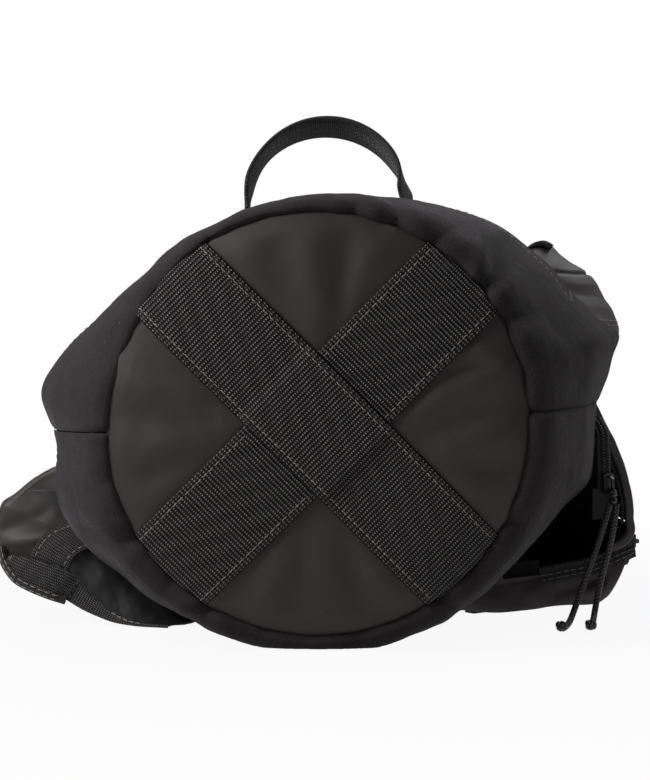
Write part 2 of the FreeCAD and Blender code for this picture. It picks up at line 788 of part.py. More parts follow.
def cord_pieces():
    # the hitch holds the middle of the cord against the slider's bridge; its two tails hang down
    travel, normal = side_frame()
    middle = side_slider_place()
    hitch_low = bridge_reach + soft_gap
    hitch_z = slider_channel / 2 + slider_plate + soft_gap
    hitch = box((hitch_low, -hitch_width / 2, hitch_z), (hitch_low + hitch_length, hitch_width / 2,
                                                         hitch_z + cord_diameter + 0.6))
    edges = [e for e in hitch.Edges if abs(e.Vertexes[0].X - e.Vertexes[-1].X) > hitch_length / 2]
    save("cord_hitch", set_down(hitch.makeFillet(1.4, edges), middle, travel * -1, normal))
    hang = hitch_low + hitch_length + 3 * soft_gap
    centre = middle - travel * hang + normal * (hitch_z + cord_diameter / 2 + 0.3)
    y = centre.y
    aside = travel.cross(normal) * ((hitch_width - cord_diameter) / 2 - 0.2)
    left = centre - aside
    right = centre + aside
    low = cord_diameter / 2
    routes = {
        "left": [tuple(left), (153.5, y - 3, 49), (146, y - 3, 28),
                 (139, y - 5, 9.5), (134.5, y - 14, low), (130, y - 26, low)],
        "right": [tuple(right), (160.5, y, 49), (154.5, y, 28),
                  (150.5, y - 2, 9.5), (148, y - 10, low), (145.5, y - 21, low)],
    }
    for name, route in routes.items():
        points = [Vector(*p) for p in route]
        save("pull_cord_" + name, tube(points, cord_diameter))
        heading = (points[-1] - points[-2]).normalize()
        ball = Part.makeSphere(knot_diameter / 2)
        matrix = FreeCAD.Matrix()
        matrix.scale(knot_length / knot_diameter, 1, 1)
        knot = set_down(ball.transformGeometry(matrix), (0, 0, 0), heading, (0, 0, 1))
        place = points[-1] + heading * (knot_length / 2)
        knot.translate(Vector(place.x, place.y, knot_diameter / 2))
        save("cord_knot_" + name, knot)


if __name__ == "__main__":
    os.makedirs("parts", exist_ok=True)
    base_pieces()
    save("cross_strap_under", cross_strap(-45, 0))
    save("cross_strap_over", cross_strap(45, webbing + soft_gap))
    band_pieces()
    body_pieces()
    band_seam_piece()
    side_pocket_pieces()
    mouth_pieces()
    pocket_pieces()
    flap_pieces()
    open_zip_pieces()
    side_zip_pieces()
    handle_pieces()
    strap_pieces()
    corner_pieces()
    cord_pieces()
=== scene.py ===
import json
import math
import bpy
import numpy as np
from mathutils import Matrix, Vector, noise

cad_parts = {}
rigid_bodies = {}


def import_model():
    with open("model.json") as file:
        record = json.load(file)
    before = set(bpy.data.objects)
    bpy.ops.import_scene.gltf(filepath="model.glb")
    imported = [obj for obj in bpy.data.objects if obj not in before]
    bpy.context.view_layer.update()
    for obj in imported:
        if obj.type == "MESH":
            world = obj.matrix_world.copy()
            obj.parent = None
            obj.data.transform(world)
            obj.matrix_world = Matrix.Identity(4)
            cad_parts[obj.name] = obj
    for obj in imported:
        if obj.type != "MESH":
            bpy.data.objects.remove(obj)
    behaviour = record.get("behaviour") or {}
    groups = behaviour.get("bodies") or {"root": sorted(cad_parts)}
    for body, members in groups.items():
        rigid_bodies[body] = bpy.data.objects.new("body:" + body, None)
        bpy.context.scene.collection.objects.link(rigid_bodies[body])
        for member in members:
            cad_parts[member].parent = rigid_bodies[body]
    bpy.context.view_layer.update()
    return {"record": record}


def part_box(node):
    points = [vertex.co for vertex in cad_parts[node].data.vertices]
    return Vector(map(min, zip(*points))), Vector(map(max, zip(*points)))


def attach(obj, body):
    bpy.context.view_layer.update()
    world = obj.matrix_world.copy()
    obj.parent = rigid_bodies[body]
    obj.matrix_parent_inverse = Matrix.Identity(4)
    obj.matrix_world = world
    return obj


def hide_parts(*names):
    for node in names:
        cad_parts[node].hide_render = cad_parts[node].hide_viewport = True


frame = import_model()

# A round based soft rucksack lying on its back, seen towards its base.
# X to the right, Y along the bag from the base to the mouth, Z up, metres.
# Drawings are in millimetres and turned to metres when the mesh is made.

mm = 0.001
baseSpec = {
    "radius": 105.0,
    "height": 112.0,
    "seamY": -196.2,
    "rise": 10.0,
    "edgeRoundness": 0.6,
    "thickness": 0.8,
    "fill": 0.8,
}


# camera

cameraSpec = {"place": (0.004, -1.0962, 0.140), "pitchDown": 0.72, "lens": 84.0, "sensor": 36.0}


def setCamera(spec):
    data = bpy.data.cameras.new("camera")
    data.lens = spec["lens"]
    data.sensor_width = spec["sensor"]
    data.clip_start = 0.05
    camera = bpy.data.objects.new("camera", data)
    camera.location = spec["place"]
    camera.rotation_euler = (math.radians(90.0 - spec["pitchDown"]), 0.0, 0.0)
    bpy.context.scene.collection.objects.link(camera)
    bpy.context.scene.camera = camera


setCamera(cameraSpec)
print("camera set")


# drawing helpers

def smoothLoop(points, count):
    # closed cubic line through given points
    pts = np.array(list(points) + [points[0]], float)
    step = np.linalg.norm(np.diff(pts, axis=0), axis=1)
    size = len(step)
    matrix = np.zeros((size, size))
    right = np.zeros((size, 2))
    for i in range(size):
        matrix[i, i - 1] += step[i - 1]
        matrix[i, i] += 2 * (step[i - 1] + step[i])
        matrix[i, (i + 1) % size] += step[i]
        ahead = (pts[i + 1] - pts[i]) / step[i]
        behind = (pts[i] - pts[i - 1 if i else size - 1]) / step[i - 1]
        right[i] = 6 * (ahead - behind)
    bend = np.linalg.solve(matrix, right)
    knots = np.concatenate([[0], np.cumsum(step)])
    at = np.linspace(0, knots[-1], count, endpoint=False)
    index = np.clip(np.searchsorted(knots, at, side="right") - 1, 0, size - 1)
    h = step[index][:, None]
    a = (knots[index + 1] - at)[:, None]
    b = (at - knots[index])[:, None]
    first = bend[index]
    second = bend[(index + 1) % size]
    return ((first * a ** 3 + second * b ** 3) / (6 * h)
            + (pts[index] / h - first * h / 6) * a + (pts[index + 1] / h - second * h / 6) * b)


def smoothThrough(keys, values, at):
    # soft open curve through values given at rising keys; values may be rows
    keys = np.array(keys, float)
    values = np.array(values, float)
    at = np.clip(np.array(at, float), keys[0], keys[-1])
    slope = np.zeros_like(values)
    gap = np.diff(keys)
    shape = (-1,) + (1,) * (values.ndim - 1)
    rate = np.diff(values, axis=0) / gap.reshape(shape)
    weight = (gap[:-1] / (gap[:-1] + gap[1:])).reshape(shape)
    slope[1:-1] = rate[:-1] * (1 - weight) + rate[1:] * weight
    slope[0] = rate[0]
    slope[-1] = rate[-1]
    index = np.clip(np.searchsorted(keys, at, side="right") - 1, 0, len(keys) - 2)
    h = gap[index]
    t = (at - keys[index]) / h
    form = (len(at),) + (1,) * (values.ndim - 1)
    t = t.reshape(form)
    h = h.reshape(form)
    return ((2 * t ** 3 - 3 * t ** 2 + 1) * values[index]
            + (t ** 3 - 2 * t ** 2 + t) * h * slope[index]
            + (-2 * t ** 3 + 3 * t ** 2) * values[index + 1]
            + (t ** 3 - t ** 2) * h * slope[index + 1])


def radiusAt(points, centre, angles):
    # distance of a closed outline from a centre, read at each angle
    line = smoothLoop(points, 1440) - np.array(centre, float)
    around = np.arctan2(line[:, 1], line[:, 0])
    order = np.argsort(around)
    far = np.hypot(line[:, 0], line[:, 1])
    return np.interp(angles, around[order], far[order], period=2 * math.pi)


def unit(vectors):
    # the same directions at length one
    return vectors / np.maximum(np.linalg.norm(vectors, axis=-1, keepdims=True), 1e-9)


def distanceAlong(line):
    # how far each point lies from the start of a line
    return np.concatenate([[0], np.cumsum(np.linalg.norm(np.diff(line, axis=0), axis=1))])


def evenLine(points, step, closed=False):
    # points a fixed step apart along a polyline
    pts = np.array(points, float)
    if closed:
        pts = np.vstack([pts, pts[:1]])
    far = distanceAlong(pts)
    count = max(int(round(far[-1] / step)), 1)
    at = np.linspace(0, far[-1], count + 1)
    if closed:
        at = at[:-1]
    return np.stack([np.interp(at, far, pts[:, k]) for k in range(pts.shape[1])], 1)


def softNoise(points, size, seed, octaves=2):
    # smooth noise in -1..1, size in millimetres
    out = np.empty(len(points))
    for i, p in enumerate(points):
        value = 0.0
        share = 1.0
        place = Vector((p[0] / size + seed, p[1] / size - seed, p[2] / size))
        for _ in range(octaves):
            value += share * noise.noise(place)
            place = place * 2.1
            share *= 0.5
        out[i] = value
    return out


def gridNormals(grid, closed):
    # unit normals of a (rows, columns, 3) grid
    if closed:
        wide = np.concatenate([grid[:, -1:], grid, grid[:, :1]], 1)
        across = (wide[:, 2:] - wide[:, :-2]) / 2
    else:
        across = np.gradient(grid, axis=1)
    along = np.gradient(grid, axis=0)
    return unit(np.cross(along, across))


def turnTo(normals, spot, direction):
    # a grid's normals, flipped if at one spot they point away from a direction
    return normals if normals[spot] @ np.array(direction) >= 0 else -normals


class Cloth:
    # gathers the parts of one piece, in millimetres, and makes its mesh
    def __init__(self):
        self.points = []
        self.faces = []
        self.maps = []
        self.count = 0

    def add(self, points, faces, maps=None):
        points = np.asarray(points, float).reshape(-1, 3)
        self.points.append(points)
        self.maps.append(np.zeros((len(points), 2)) if maps is None
                         else np.asarray(maps, float).reshape(-1, 2))
        self.faces += [tuple(i + self.count for i in face) for face in faces]
        self.count += len(points)

    def grid(self, grid, closed=False, flip=False, shift=0.0, maps=None):
        # a sheet over a (rows, columns, 3) grid, mapped by its own size if no maps are given
        rows, columns = grid.shape[:2]
        if maps is None:
            acrossStep = np.linalg.norm(np.diff(grid, axis=1), axis=2).mean(0)
            alongStep = np.linalg.norm(np.diff(grid, axis=0), axis=2).mean(1)
            u = np.concatenate([[0], np.cumsum(acrossStep)]) + shift
            v = np.concatenate([[0], np.cumsum(alongStep)])
            maps = np.stack(np.meshgrid(u, v), -1)
        faces = []
        last = columns if closed else columns - 1
        for r in range(rows - 1):
            here = r * columns
            ahead = here + columns
            for c in range(last):
                d = (c + 1) % columns
                face = (here + c, here + d, ahead + d, ahead + c)
                faces.append(face[::-1] if flip else face)
        self.add(grid, faces, maps)

    def sleeve(self, grid, maps):
        # a grid closed round its line, with a face over each end
        rows, columns = grid.shape[:2]
        first = self.count
        last = first + (rows - 1) * columns
        self.grid(grid, closed=True, maps=maps)
        self.faces.append(tuple(range(first, first + columns))[::-1])
        self.faces.append(tuple(range(last, last + columns)))

    def tube(self, line, radius, sides=8, closed=False, up=None):
        # a rod round a line; radius may vary along it
        line = np.asarray(line, float)
        count = len(line)
        radii = np.broadcast_to(np.asarray(radius, float), (count,))
        if closed:
            tangent = np.roll(line, -1, 0) - np.roll(line, 1, 0)
        else:
            tangent = np.gradient(line, axis=0)
        tangent = unit(tangent)
        side = np.empty_like(line)
        start = np.array(up if up is not None else (0.0, 0.0, 1.0), float)
        if abs(np.dot(start, tangent[0])) > 0.95:
            start = np.array((0.0, 1.0, 0.0))
        for i in range(count):
            start = start - tangent[i] * np.dot(start, tangent[i])
            start /= max(np.linalg.norm(start), 1e-9)
            side[i] = start
        other = np.cross(tangent, side)
        turn = np.linspace(0, 2 * math.pi, sides, endpoint=False)
        ring = (side[:, None] * np.cos(turn)[None, :, None]
                + other[:, None] * np.sin(turn)[None, :, None])
        grid = line[:, None] + ring * radii[:, None, None]
        faces = []
        for r in range(count if closed else count - 1):
            for c in range(sides):
                d = (c + 1) % sides
                s = (r + 1) % count
                faces.append((r * sides + c, r * sides + d, s * sides + d, s * sides + c))
        if not closed:
            faces.append(tuple(range(sides))[::-1])
            faces.append(tuple((count - 1) * sides + c for c in range(sides)))
        maps = np.stack(np.meshgrid(turn, distanceAlong(line)), -1)
        self.add(grid, faces, maps)

    def make(self, name, material, body="bag", replaces=(), thickness=0.0, offset=-1.0):
        # the piece itself; a thickness gives the cloth its body, inward unless the offset differs
        mesh = bpy.data.meshes.new(name)
        points = np.concatenate(self.points) * mm
        mesh.from_pydata(points.tolist(), [], self.faces)
        maps = np.concatenate(self.maps) * mm
        layer = mesh.uv_layers.new(name="cloth")
        corner = np.empty(len(mesh.loops), int)
        mesh.loops.foreach_get("vertex_index", corner)
        layer.data.foreach_set("uv", maps[corner].astype(np.float32).ravel())
        mesh.materials.append(material)
        mesh.polygons.foreach_set("use_smooth", [True] * len(mesh.polygons))
        mesh.validate()
        mesh.update()
        piece = bpy.data.objects.new(name, mesh)
        bpy.context.scene.collection.objects.link(piece)
        if replaces:
            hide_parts(*replaces)
        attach(piece, body)
        if thickness:
            solid = piece.modifiers.new("thickness", "SOLIDIFY")
            solid.thickness = thickness * mm
            solid.offset = offset
        return piece


def sewRow(cloth, line, normals, spec):
    # a row of thread stitches along a line, each dipping into the cloth at its ends
    both = np.hstack([np.asarray(line, float), np.asarray(normals, float)])
    dense = evenLine(both, spec["pitch"] / 8.0)
    far = distanceAlong(dense[:, :3])
    count = int(far[-1] // spec["pitch"])
    jitter = np.random.default_rng(spec.get("seed", 3))
    rings = np.linspace(0, 1, 5)
    for i in range(count):
        start = i * spec["pitch"] + jitter.uniform(-0.08, 0.08) * spec["pitch"]
        at = np.clip(start + rings * spec["length"], 0, far[-1])
        spots = np.stack([np.interp(at, far, dense[:, k]) for k in range(6)], 1)
        normal = unit(spots[:, 3:])
        rise = spec["lift"] * (1 - (2 * rings - 1) ** 4) - spec["thread"] * 0.4
        path = spots[:, :3] + normal * rise[:, None]
        taper = 0.75 + 0.25 * np.sin(math.pi * rings)
        cloth.tube(path, spec["thread"] / 2 * taper, 6, up=normal[0])


topStitch = {"pitch": 4.2, "length": 3.2, "thread": 0.5, "lift": 0.3}


def sew(cloth, line, facing, seed, **changes):
    # a row of top stitches; facing is one direction, or a normal for each point
    normals = np.broadcast_to(np.asarray(facing, float), np.shape(line))
    sewRow(cloth, line, normals, dict(topStitch, seed=seed, **changes))


def sewSpots(cloth, spots, seed):
    # the same through a list of points with their normals
    points, normals = zip(*spots)
    sew(cloth, points, normals, seed)


class Skin:
    # a polar grid of points over depth, read anywhere by angle and depth
    def __init__(self, grid, normals, angles, depths):
        self.grid = grid
        self.normals = normals
        self.angles = angles
        self.depths = depths

    def at(self, angle, depthValue):
        # the point and normal there, read behind the row that stands furthest forward
        first = self.depths.argmin()
        row = np.interp(depthValue, self.depths[first:], np.arange(first, len(self.depths)))
        column = ((angle + math.pi) % (2 * math.pi)) / (2 * math.pi) * len(self.angles)
        r = min(int(row), len(self.depths) - 2)
        c = int(column)
        spot = 0
        normal = 0
        for i, wr in ((0, 1 - row + r), (1, row - r)):
            for j, wc in ((0, 1 - column + c), (1, column - c)):
                k = (c + j) % len(self.angles)
                spot = spot + self.grid[r + i, k] * wr * wc
                normal = normal + self.normals[r + i, k] * wr * wc
        return spot, unit(normal)

    def beside(self, depthValue, height, right):
        # the point and normal at a height on the right or left side
        angles = self.angles[::4]
        spots = np.array([self.at(a, depthValue)[0] for a in angles])
        use = spots[:, 0] > 40 if right else spots[:, 0] < -40
        turned = np.where((angles < 0) & (not right), angles + 2 * math.pi, angles)
        order = np.argsort(spots[use, 2])
        return self.at(np.interp(height, spots[use, 2][order], turned[use][order]), depthValue)


# materials

def linear(code):
    # sRGB hex to linear colour
    values = [int(code[i:i + 2], 16) / 255 for i in (1, 3, 5)]
    return (tuple(v / 12.92 if v <= 0.04045 else ((v + 0.055) / 1.055) ** 2.4 for v in values)
            + (1.0,))


def addNode(tree, kind, settings=None, links=None):
    # one node with its settings and what feeds it
    node = tree.nodes.new("ShaderNode" + kind)
    for key, value in (settings or {}).items():
        if isinstance(key, str) and hasattr(node, key):
            setattr(node, key, value)
        else:
            node.inputs[key].default_value = value
    for key, socket in (links or {}).items():
        tree.links.new(socket, node.inputs[key])
    return node


def startMaterial(name):
    material = bpy.data.materials.new(name)
    material.use_nodes = True
    material.node_tree.nodes.clear()
    return material, material.node_tree


def bands(pitch):
    # wave texture scale for a pitch in millimetres
    return 0.314159 / (pitch * mm)


def cells(size):
    # noise or voronoi scale for a grain size in millimetres
    return 1.0 / (size * mm)


def feed(tree, socket, value):
    # a socket takes a constant or what another node gives
    if isinstance(value, (float, tuple)):
        socket.default_value = value
    else:
        tree.links.new(value, socket)


def sumOf(tree, operation, *values):
    # one sum on values in a shader
    node = addNode(tree, "Math", {"operation": operation})
    for index, value in enumerate(values):
        feed(tree, node.inputs[index], value)
    return node.outputs[0]


def blendColours(tree, factor, first, second):
    node = addNode(tree, "Mix", {"data_type": "RGBA"})
    for index, value in ((0, factor), (6, first), (7, second)):
        feed(tree, node.inputs[index], value)
    return node.outputs[2]


def clothPlace(tree, angle=0.0):
    # the place on the flat cloth, turned by an angle in degrees
    flat = addNode(tree, "UVMap", {"uv_map": "cloth"})
    turned = addNode(tree, "Mapping", {"vector_type": "POINT"}, {"Vector": flat.outputs["UV"]})
    turned.inputs["Rotation"].default_value = (0.0, 0.0, math.radians(angle))
    return turned.outputs["Vector"]


def piecePlace(tree):
    # the place in the piece's own space
    return addNode(tree, "TexCoord").outputs["Object"]


def ridges(tree, place, direction, pitch, distortion=0.0, more=None):
    # parallel ridges a pitch apart in millimetres
    settings = {"wave_type": "BANDS", "bands_direction": direction, "wave_profile": "SIN",
                "Scale": bands(pitch), "Distortion": distortion}
    settings.update(more or {})
    return addNode(tree, "TexWave", settings, {"Vector": place}).outputs["Fac"]


def clouds(tree, place, size, detail, roughness=0.5):
    # soft noise with a grain size in millimetres
    return addNode(tree, "TexNoise", {"Scale": cells(size), "Detail": detail,
                                      "Roughness": roughness},
                   {"Vector": place}).outputs["Fac"]


def finishMaterial(tree, colour, height, distance, spec):
    # the shader itself, with its bump from a height and a distance in millimetres
    bump = addNode(tree, "Bump", {"Strength": spec["bump"], "Distance": distance * mm},
                   {"Height": height})
    shader = addNode(tree, "BsdfPrincipled", {
        "Roughness": spec["roughness"], "IOR": spec.get("ior", 1.5),
        "Specular IOR Level": spec["specular"], "Sheen Weight": spec.get("sheen", 0.0),
        "Sheen Roughness": spec.get("sheenRoughness", 0.5),
        "Sheen Tint": linear(spec.get("sheenTint", "#ffffff")),
    }, {"Base Color": colour, "Normal": bump.outputs["Normal"]})
    addNode(tree, "OutputMaterial", {}, {"Surface": shader.outputs["BSDF"]})


def twillCloth(name, spec):
    # Woven twill: two diagonals of thread ridges, uneven dye and soft creases in the light, with
    # painted shade in the shade colour between the threads.
    # The real thread pitch of 0.45 mm is too fine to show, so it is drawn at the given pitch.
    material, tree = startMaterial(name)
    flat = clothPlace(tree, spec["angle"])
    place = piecePlace(tree)
    ridge = ridges(tree, flat, "X", spec["pitch"], 0.35, {"Detail": 1.0, "Detail Scale": 3.0})
    cross = ridges(tree, flat, "Y", spec["pitch"] * 0.8, 0.2)
    threads = sumOf(tree, "MULTIPLY", ridge, cross)
    dye = blendColours(tree, clouds(tree, place, 38.0, 3.0, 0.55), linear(spec["dark"]),
                       linear(spec["light"]))
    # painted shade: where the thread ridges dip, the colour turns to the shade colour
    woven = blendColours(tree, threads, linear(spec["shade"]), dye)
    mixed = blendColours(tree, spec["contrast"], dye, woven)
    height = sumOf(tree, "MULTIPLY_ADD", clouds(tree, place, 1.1, 2.0), 0.35, threads)
    finishMaterial(tree, mixed, height, 0.12, spec)
    return material


def brushedCloth(name, spec):
    # Brushed heavy canvas: a matt nap, faint weave, and light specks and short hairs of lint.
    material, tree = startMaterial(name)
    flat = clothPlace(tree)
    place = piecePlace(tree)
    nap = clouds(tree, place, 1.3, 4.0, 0.7)
    warp, weft = [ridges(tree, flat, direction, 1.3, 0.8, {"Detail": 1.0}) for direction in "XY"]
    dye = blendColours(tree, clouds(tree, place, 30.0, 4.0, 0.6), linear(spec["dark"]),
                       linear(spec["light"]))
    fuzz = addNode(tree, "ValToRGB", {}, {"Fac": nap})
    fuzz.color_ramp.elements[0].position = 0.35
    fuzz.color_ramp.elements[1].position = 0.75
    napped = blendColours(tree, fuzz.outputs["Color"], dye, linear(spec["nap"]))
    soft = blendColours(tree, spec["napShare"], dye, napped)
    specks = addNode(tree, "TexVoronoi", {"feature": "F1", "Scale": cells(5.5), "Randomness": 1.0},
                     {"Vector": place})
    speck = sumOf(tree, "LESS_THAN", specks.outputs["Distance"], 0.055)
    some = sumOf(tree, "GREATER_THAN", clouds(tree, place, 16.0, 1.0), 0.56)
    lint = sumOf(tree, "MULTIPLY", sumOf(tree, "MULTIPLY", speck, some), spec["lint"])
    colour = blendColours(tree, lint, soft, linear("#8f8a88"))
    height = sumOf(tree, "MULTIPLY_ADD", nap, 0.6, sumOf(tree, "MULTIPLY", warp, weft))
    finishMaterial(tree, colour, height, 0.2, spec)
    return material


def ribbedWebbing(name, spec):
    # Jacquard nylon webbing: each cross rib is a row of small twisted bumps, with a painted
    # highlight on top and painted shade between. The ribs are in the mesh; the bumps along them are
    # drawn here.
    material, tree = startMaterial(name)
    flat = clothPlace(tree)
    across = ridges(tree, flat, "X", spec["bumpPitch"], 0.3)
    along = ridges(tree, flat, "Y", spec["ribPitch"])
    twist = ridges(tree, clothPlace(tree, 38.0), "X", spec["bumpPitch"] * 0.9)
    knots = sumOf(tree, "MULTIPLY", along, across)
    # painted shade in the grooves and a painted highlight on the rib tops, through the groove, rib
    # and top colours
    ribShadeAndHighlight = addNode(tree, "ValToRGB", {}, {"Fac": knots})
    steps = ribShadeAndHighlight.color_ramp.elements
    steps[0].position = 0.15
    steps[0].color = linear(spec["groove"])
    steps[1].position = 0.8
    steps[1].color = linear(spec["top"])
    steps.new(0.45).color = linear(spec["rib"])
    height = sumOf(tree, "MULTIPLY_ADD", twist, 0.5, knots)
    finishMaterial(tree, ribShadeAndHighlight.outputs["Color"], height, 0.35, spec)
    return material


def plainTape(name, spec):
    # Woven tape: fine cross ribs and a thread to each side, matt, with painted shade in the grooves
    # and a painted highlight on the rib tops.
    material, tree = startMaterial(name)
    flat = clothPlace(tree)
    rib = ridges(tree, flat, "Y", spec["ribPitch"], 0.2)
    # painted shade and highlight: groove colour between the ribs, top colour on them
    colour = blendColours(tree, rib, linear(spec["groove"]), linear(spec["top"]))
    height = sumOf(tree, "MULTIPLY_ADD", ridges(tree, flat, "X", spec["bumpPitch"], 0.2), 0.4, rib)
    finishMaterial(tree, colour, height, 0.15, spec)
    return material


def solidFinish(name, spec):
    # Moulded or painted: a soft gloss broken by fine wear and a faint skin texture.
    material, tree = startMaterial(name)
    wear = clouds(tree, piecePlace(tree), spec["grain"], 5.0, 0.65)
    colour = blendColours(tree, wear, linear(spec["dark"]), linear(spec["light"]))
    finishMaterial(tree, colour, wear, 0.08, spec)
    return material


# In the ribbed and plain tape looks, groove is painted shade and top a painted highlight; in the
# twill looks, shade is painted shade between the threads.
looks = {
    "baseNylon": {"dark": "#373231", "light": "#433c3b", "shade": "#2b2726", "pitch": 0.95,
                  "angle": 45.0,
                  "contrast": 0.85, "bump": 0.6, "roughness": 0.6, "specular": 0.3, "sheen": 0.08,
                  "sheenRoughness": 0.45, "sheenTint": "#cfc6c4", "ior": 1.53},
    "bodyNylon": {"dark": "#373232", "light": "#443e3f", "shade": "#2c2828", "pitch": 0.95,
                  "angle": 45.0,
                  "contrast": 0.4, "bump": 0.3, "roughness": 0.55, "specular": 0.35, "sheen": 0.1,
                  "sheenRoughness": 0.4, "sheenTint": "#d8d0d2", "ior": 1.53},
    "canvas": {"dark": "#242224", "light": "#2f2c2e", "nap": "#454143", "napShare": 0.4,
               "lint": 0.6,
               "bump": 0.6, "roughness": 0.9, "specular": 0.12, "sheen": 0.12,
               "sheenRoughness": 0.4,
               "sheenTint": "#d9d5da", "ior": 1.5},
    "webbing": {"groove": "#030303", "rib": "#131212", "top": "#857f7d", "ribPitch": 2.1,
                "bumpPitch": 1.3,
                "bump": 1.0, "roughness": 0.5, "specular": 0.2, "sheen": 0.0, "ior": 1.53},
    "narrow": {"groove": "#0b0b0b", "rib": "#1d1c1c", "top": "#686463", "ribPitch": 1.5,
               "bumpPitch": 1.0,
               "bump": 0.8, "roughness": 0.6, "specular": 0.25, "sheen": 0.03, "ior": 1.53},
    "handle": {"groove": "#242222", "rib": "#363333", "top": "#6b6666", "ribPitch": 1.3,
               "bumpPitch": 0.9,
               "bump": 0.7, "roughness": 0.65, "specular": 0.25, "sheen": 0.05, "ior": 1.53},
    "binding": {"groove": "#191818", "top": "#3a3737", "ribPitch": 1.0, "bumpPitch": 0.8,
                "bump": 0.8,
                "roughness": 0.7, "specular": 0.3, "sheen": 0.2},
    "lining": {"dark": "#232121", "light": "#2e2b2b", "shade": "#1b1919", "pitch": 0.9,
               "angle": 0.0,
               "contrast": 0.4, "bump": 0.3, "roughness": 0.6, "specular": 0.35, "sheen": 0.1},
    "zipTape": {"groove": "#1a1919", "top": "#302e2e", "ribPitch": 0.9, "bumpPitch": 0.9,
                "bump": 0.7,
                "roughness": 0.75, "specular": 0.25, "sheen": 0.15},
    "coil": {"dark": "#1e1d1d", "light": "#383535", "grain": 2.0, "bump": 0.2, "roughness": 0.45,
             "specular": 0.4},
    "enamel": {"dark": "#141414", "light": "#1d1c1c", "grain": 1.6, "bump": 0.15, "roughness": 0.42,
               "specular": 0.35},
    "acetal": {"dark": "#191919", "light": "#222121", "grain": 1.2, "bump": 0.3, "roughness": 0.42,
               "specular": 0.5},
    "thread": {"dark": "#7d7874", "light": "#a8a39f", "grain": 3.0, "bump": 0.3, "roughness": 0.6,
               "specular": 0.35, "sheen": 0.2},
    "darkThread": {"dark": "#3b3838", "light": "#504c4c", "grain": 3.0, "bump": 0.3,
                   "roughness": 0.6,
                   "specular": 0.35, "sheen": 0.2},
    "label": {"groove": "#1b1a1a", "top": "#302f2f", "ribPitch": 0.7, "bumpPitch": 0.7, "bump": 0.5,
              "roughness": 0.55, "specular": 0.4, "sheen": 0.15},
    # the tab is nylon darkened nearly to black as painted shade
    "tab": {"dark": "#0d0c0c", "light": "#151414", "shade": "#090808", "pitch": 0.9, "angle": 0.0,
            "contrast": 0.4, "bump": 0.3, "roughness": 0.75, "specular": 0.12, "sheen": 0.0},
    # the gusset nylon is the body nylon darkened as painted shade under the band
    "gussetPaintedShade": {"dark": "#211e1f", "light": "#292627", "shade": "#191717", "pitch": 0.95,
               "angle": 45.0,
               "contrast": 0.4, "bump": 0.3, "roughness": 0.6, "specular": 0.3, "sheen": 0.06},
    # the cord's dark and light tones are painted highlights on its strands, its shade painted shade
    # between them
    "cord": {"dark": "#5a5654", "light": "#787371", "shade": "#0c0b0b", "pitch": 1.6, "angle": 45.0,
             "contrast": 1.0, "bump": 0.7, "roughness": 0.5, "specular": 0.3, "sheen": 0.05},
    "mesh": {"groove": "#101010", "top": "#343232", "ribPitch": 2.4, "bumpPitch": 2.4, "bump": 1.0,
             "roughness": 0.8, "specular": 0.25, "sheen": 0.25},
    "foam": {"dark": "#2c2b2b", "light": "#393737", "grain": 1.5, "bump": 0.6, "roughness": 0.85,
             "specular": 0.2},
    "board": {"dark": "#262526", "light": "#2f2e2e", "grain": 2.5, "bump": 0.2, "roughness": 0.5,
              "specular": 0.4},
}
baseNylon = twillCloth("nylonTwillWoven", looks["baseNylon"])
bodyNylon = twillCloth("nylonTwillCoated", looks["bodyNylon"])
canvas = brushedCloth("cottonCanvasBrushed", looks["canvas"])
webbing = ribbedWebbing("nylonWebbingWoven", looks["webbing"])
narrowWebbing = ribbedWebbing("nylonWebbingNarrow", looks["narrow"])
handleWebbing = ribbedWebbing("nylonWebbingFine", looks["handle"])
binding = plainTape("grosgrainBinding", looks["binding"])
lining = twillCloth("nylonLiningWoven", looks["lining"])
tabNylonPaintedShade = twillCloth("nylonTabPressed", looks["tab"])
gussetNylonPaintedShade = twillCloth("nylonTwillShaded", looks["gussetPaintedShade"])
zipTape = plainTape("polyesterZipTape", looks["zipTape"])
coilPlastic = solidFinish("nylonCoilMoulded", looks["coil"])
enamel = solidFinish("zincEnamelled", looks["enamel"])
acetal = solidFinish("acetalMoulded", looks["acetal"])
thread = solidFinish("polyesterThreadLight", looks["thread"])
darkThread = solidFinish("polyesterThreadDark", looks["darkThread"])
labelCloth = plainTape("labelTapeWoven", looks["label"])
# the cord's braid colours are painted highlight and painted shade
cordBraidPaintedLight = twillCloth("polyesterCordBraided", looks["cord"])
spacerMesh = plainTape("polyesterSpacerMesh", looks["mesh"])
foamFinish = solidFinish("polyethyleneFoamCut", looks["foam"])
boardFinish = solidFinish("polyethyleneBoard", looks["board"])
print("materials made")


# pull cords

cordSpec = {
    "diameter": 3.6,
    "braidColumns": 6,
    "chevron": 1.5,
    "relief": 0.34,
    "routes": {
        "left": [(158.38, -110.57, 65.63), (153.5, -112.13, 49.0), (146.0, -112.13, 28.0),
                 (139.0, -114.13, 9.5), (134.5, -123.13, 1.8), (130.0, -135.13, 1.8)],
        "right": [(162.47, -107.7, 65.76), (160.5, -109.13, 49.0), (154.5, -109.13, 28.0),
                  (150.5, -111.13, 9.5), (148.0, -119.13, 1.8), (145.5, -130.13, 1.8)],
    },
}


def routeLine(points):
    # the smooth line of a limp cord through its route
    curve = bpy.data.curves.new("route", "CURVE")
    curve.dimensions = "3D"
    curve.resolution_u = 40
    spline = curve.splines.new("NURBS")
    spline.points.add(len(points) - 1)
    for spot, p in zip(spline.points, points):
        spot.co = (p[0] * mm, p[1] * mm, p[2] * mm, 1.0)
    spline.order_u = 3
    spline.use_endpoint_u = True
    holder = bpy.data.objects.new("route", curve)
    bpy.context.scene.collection.objects.link(holder)
    bpy.context.view_layer.update()
    mesh = bpy.data.meshes.new_from_object(holder)
    line = np.array([v.co for v in mesh.vertices]) / mm
    bpy.data.objects.remove(holder)
    bpy.data.curves.remove(curve)
    bpy.data.meshes.remove(mesh)
    return line


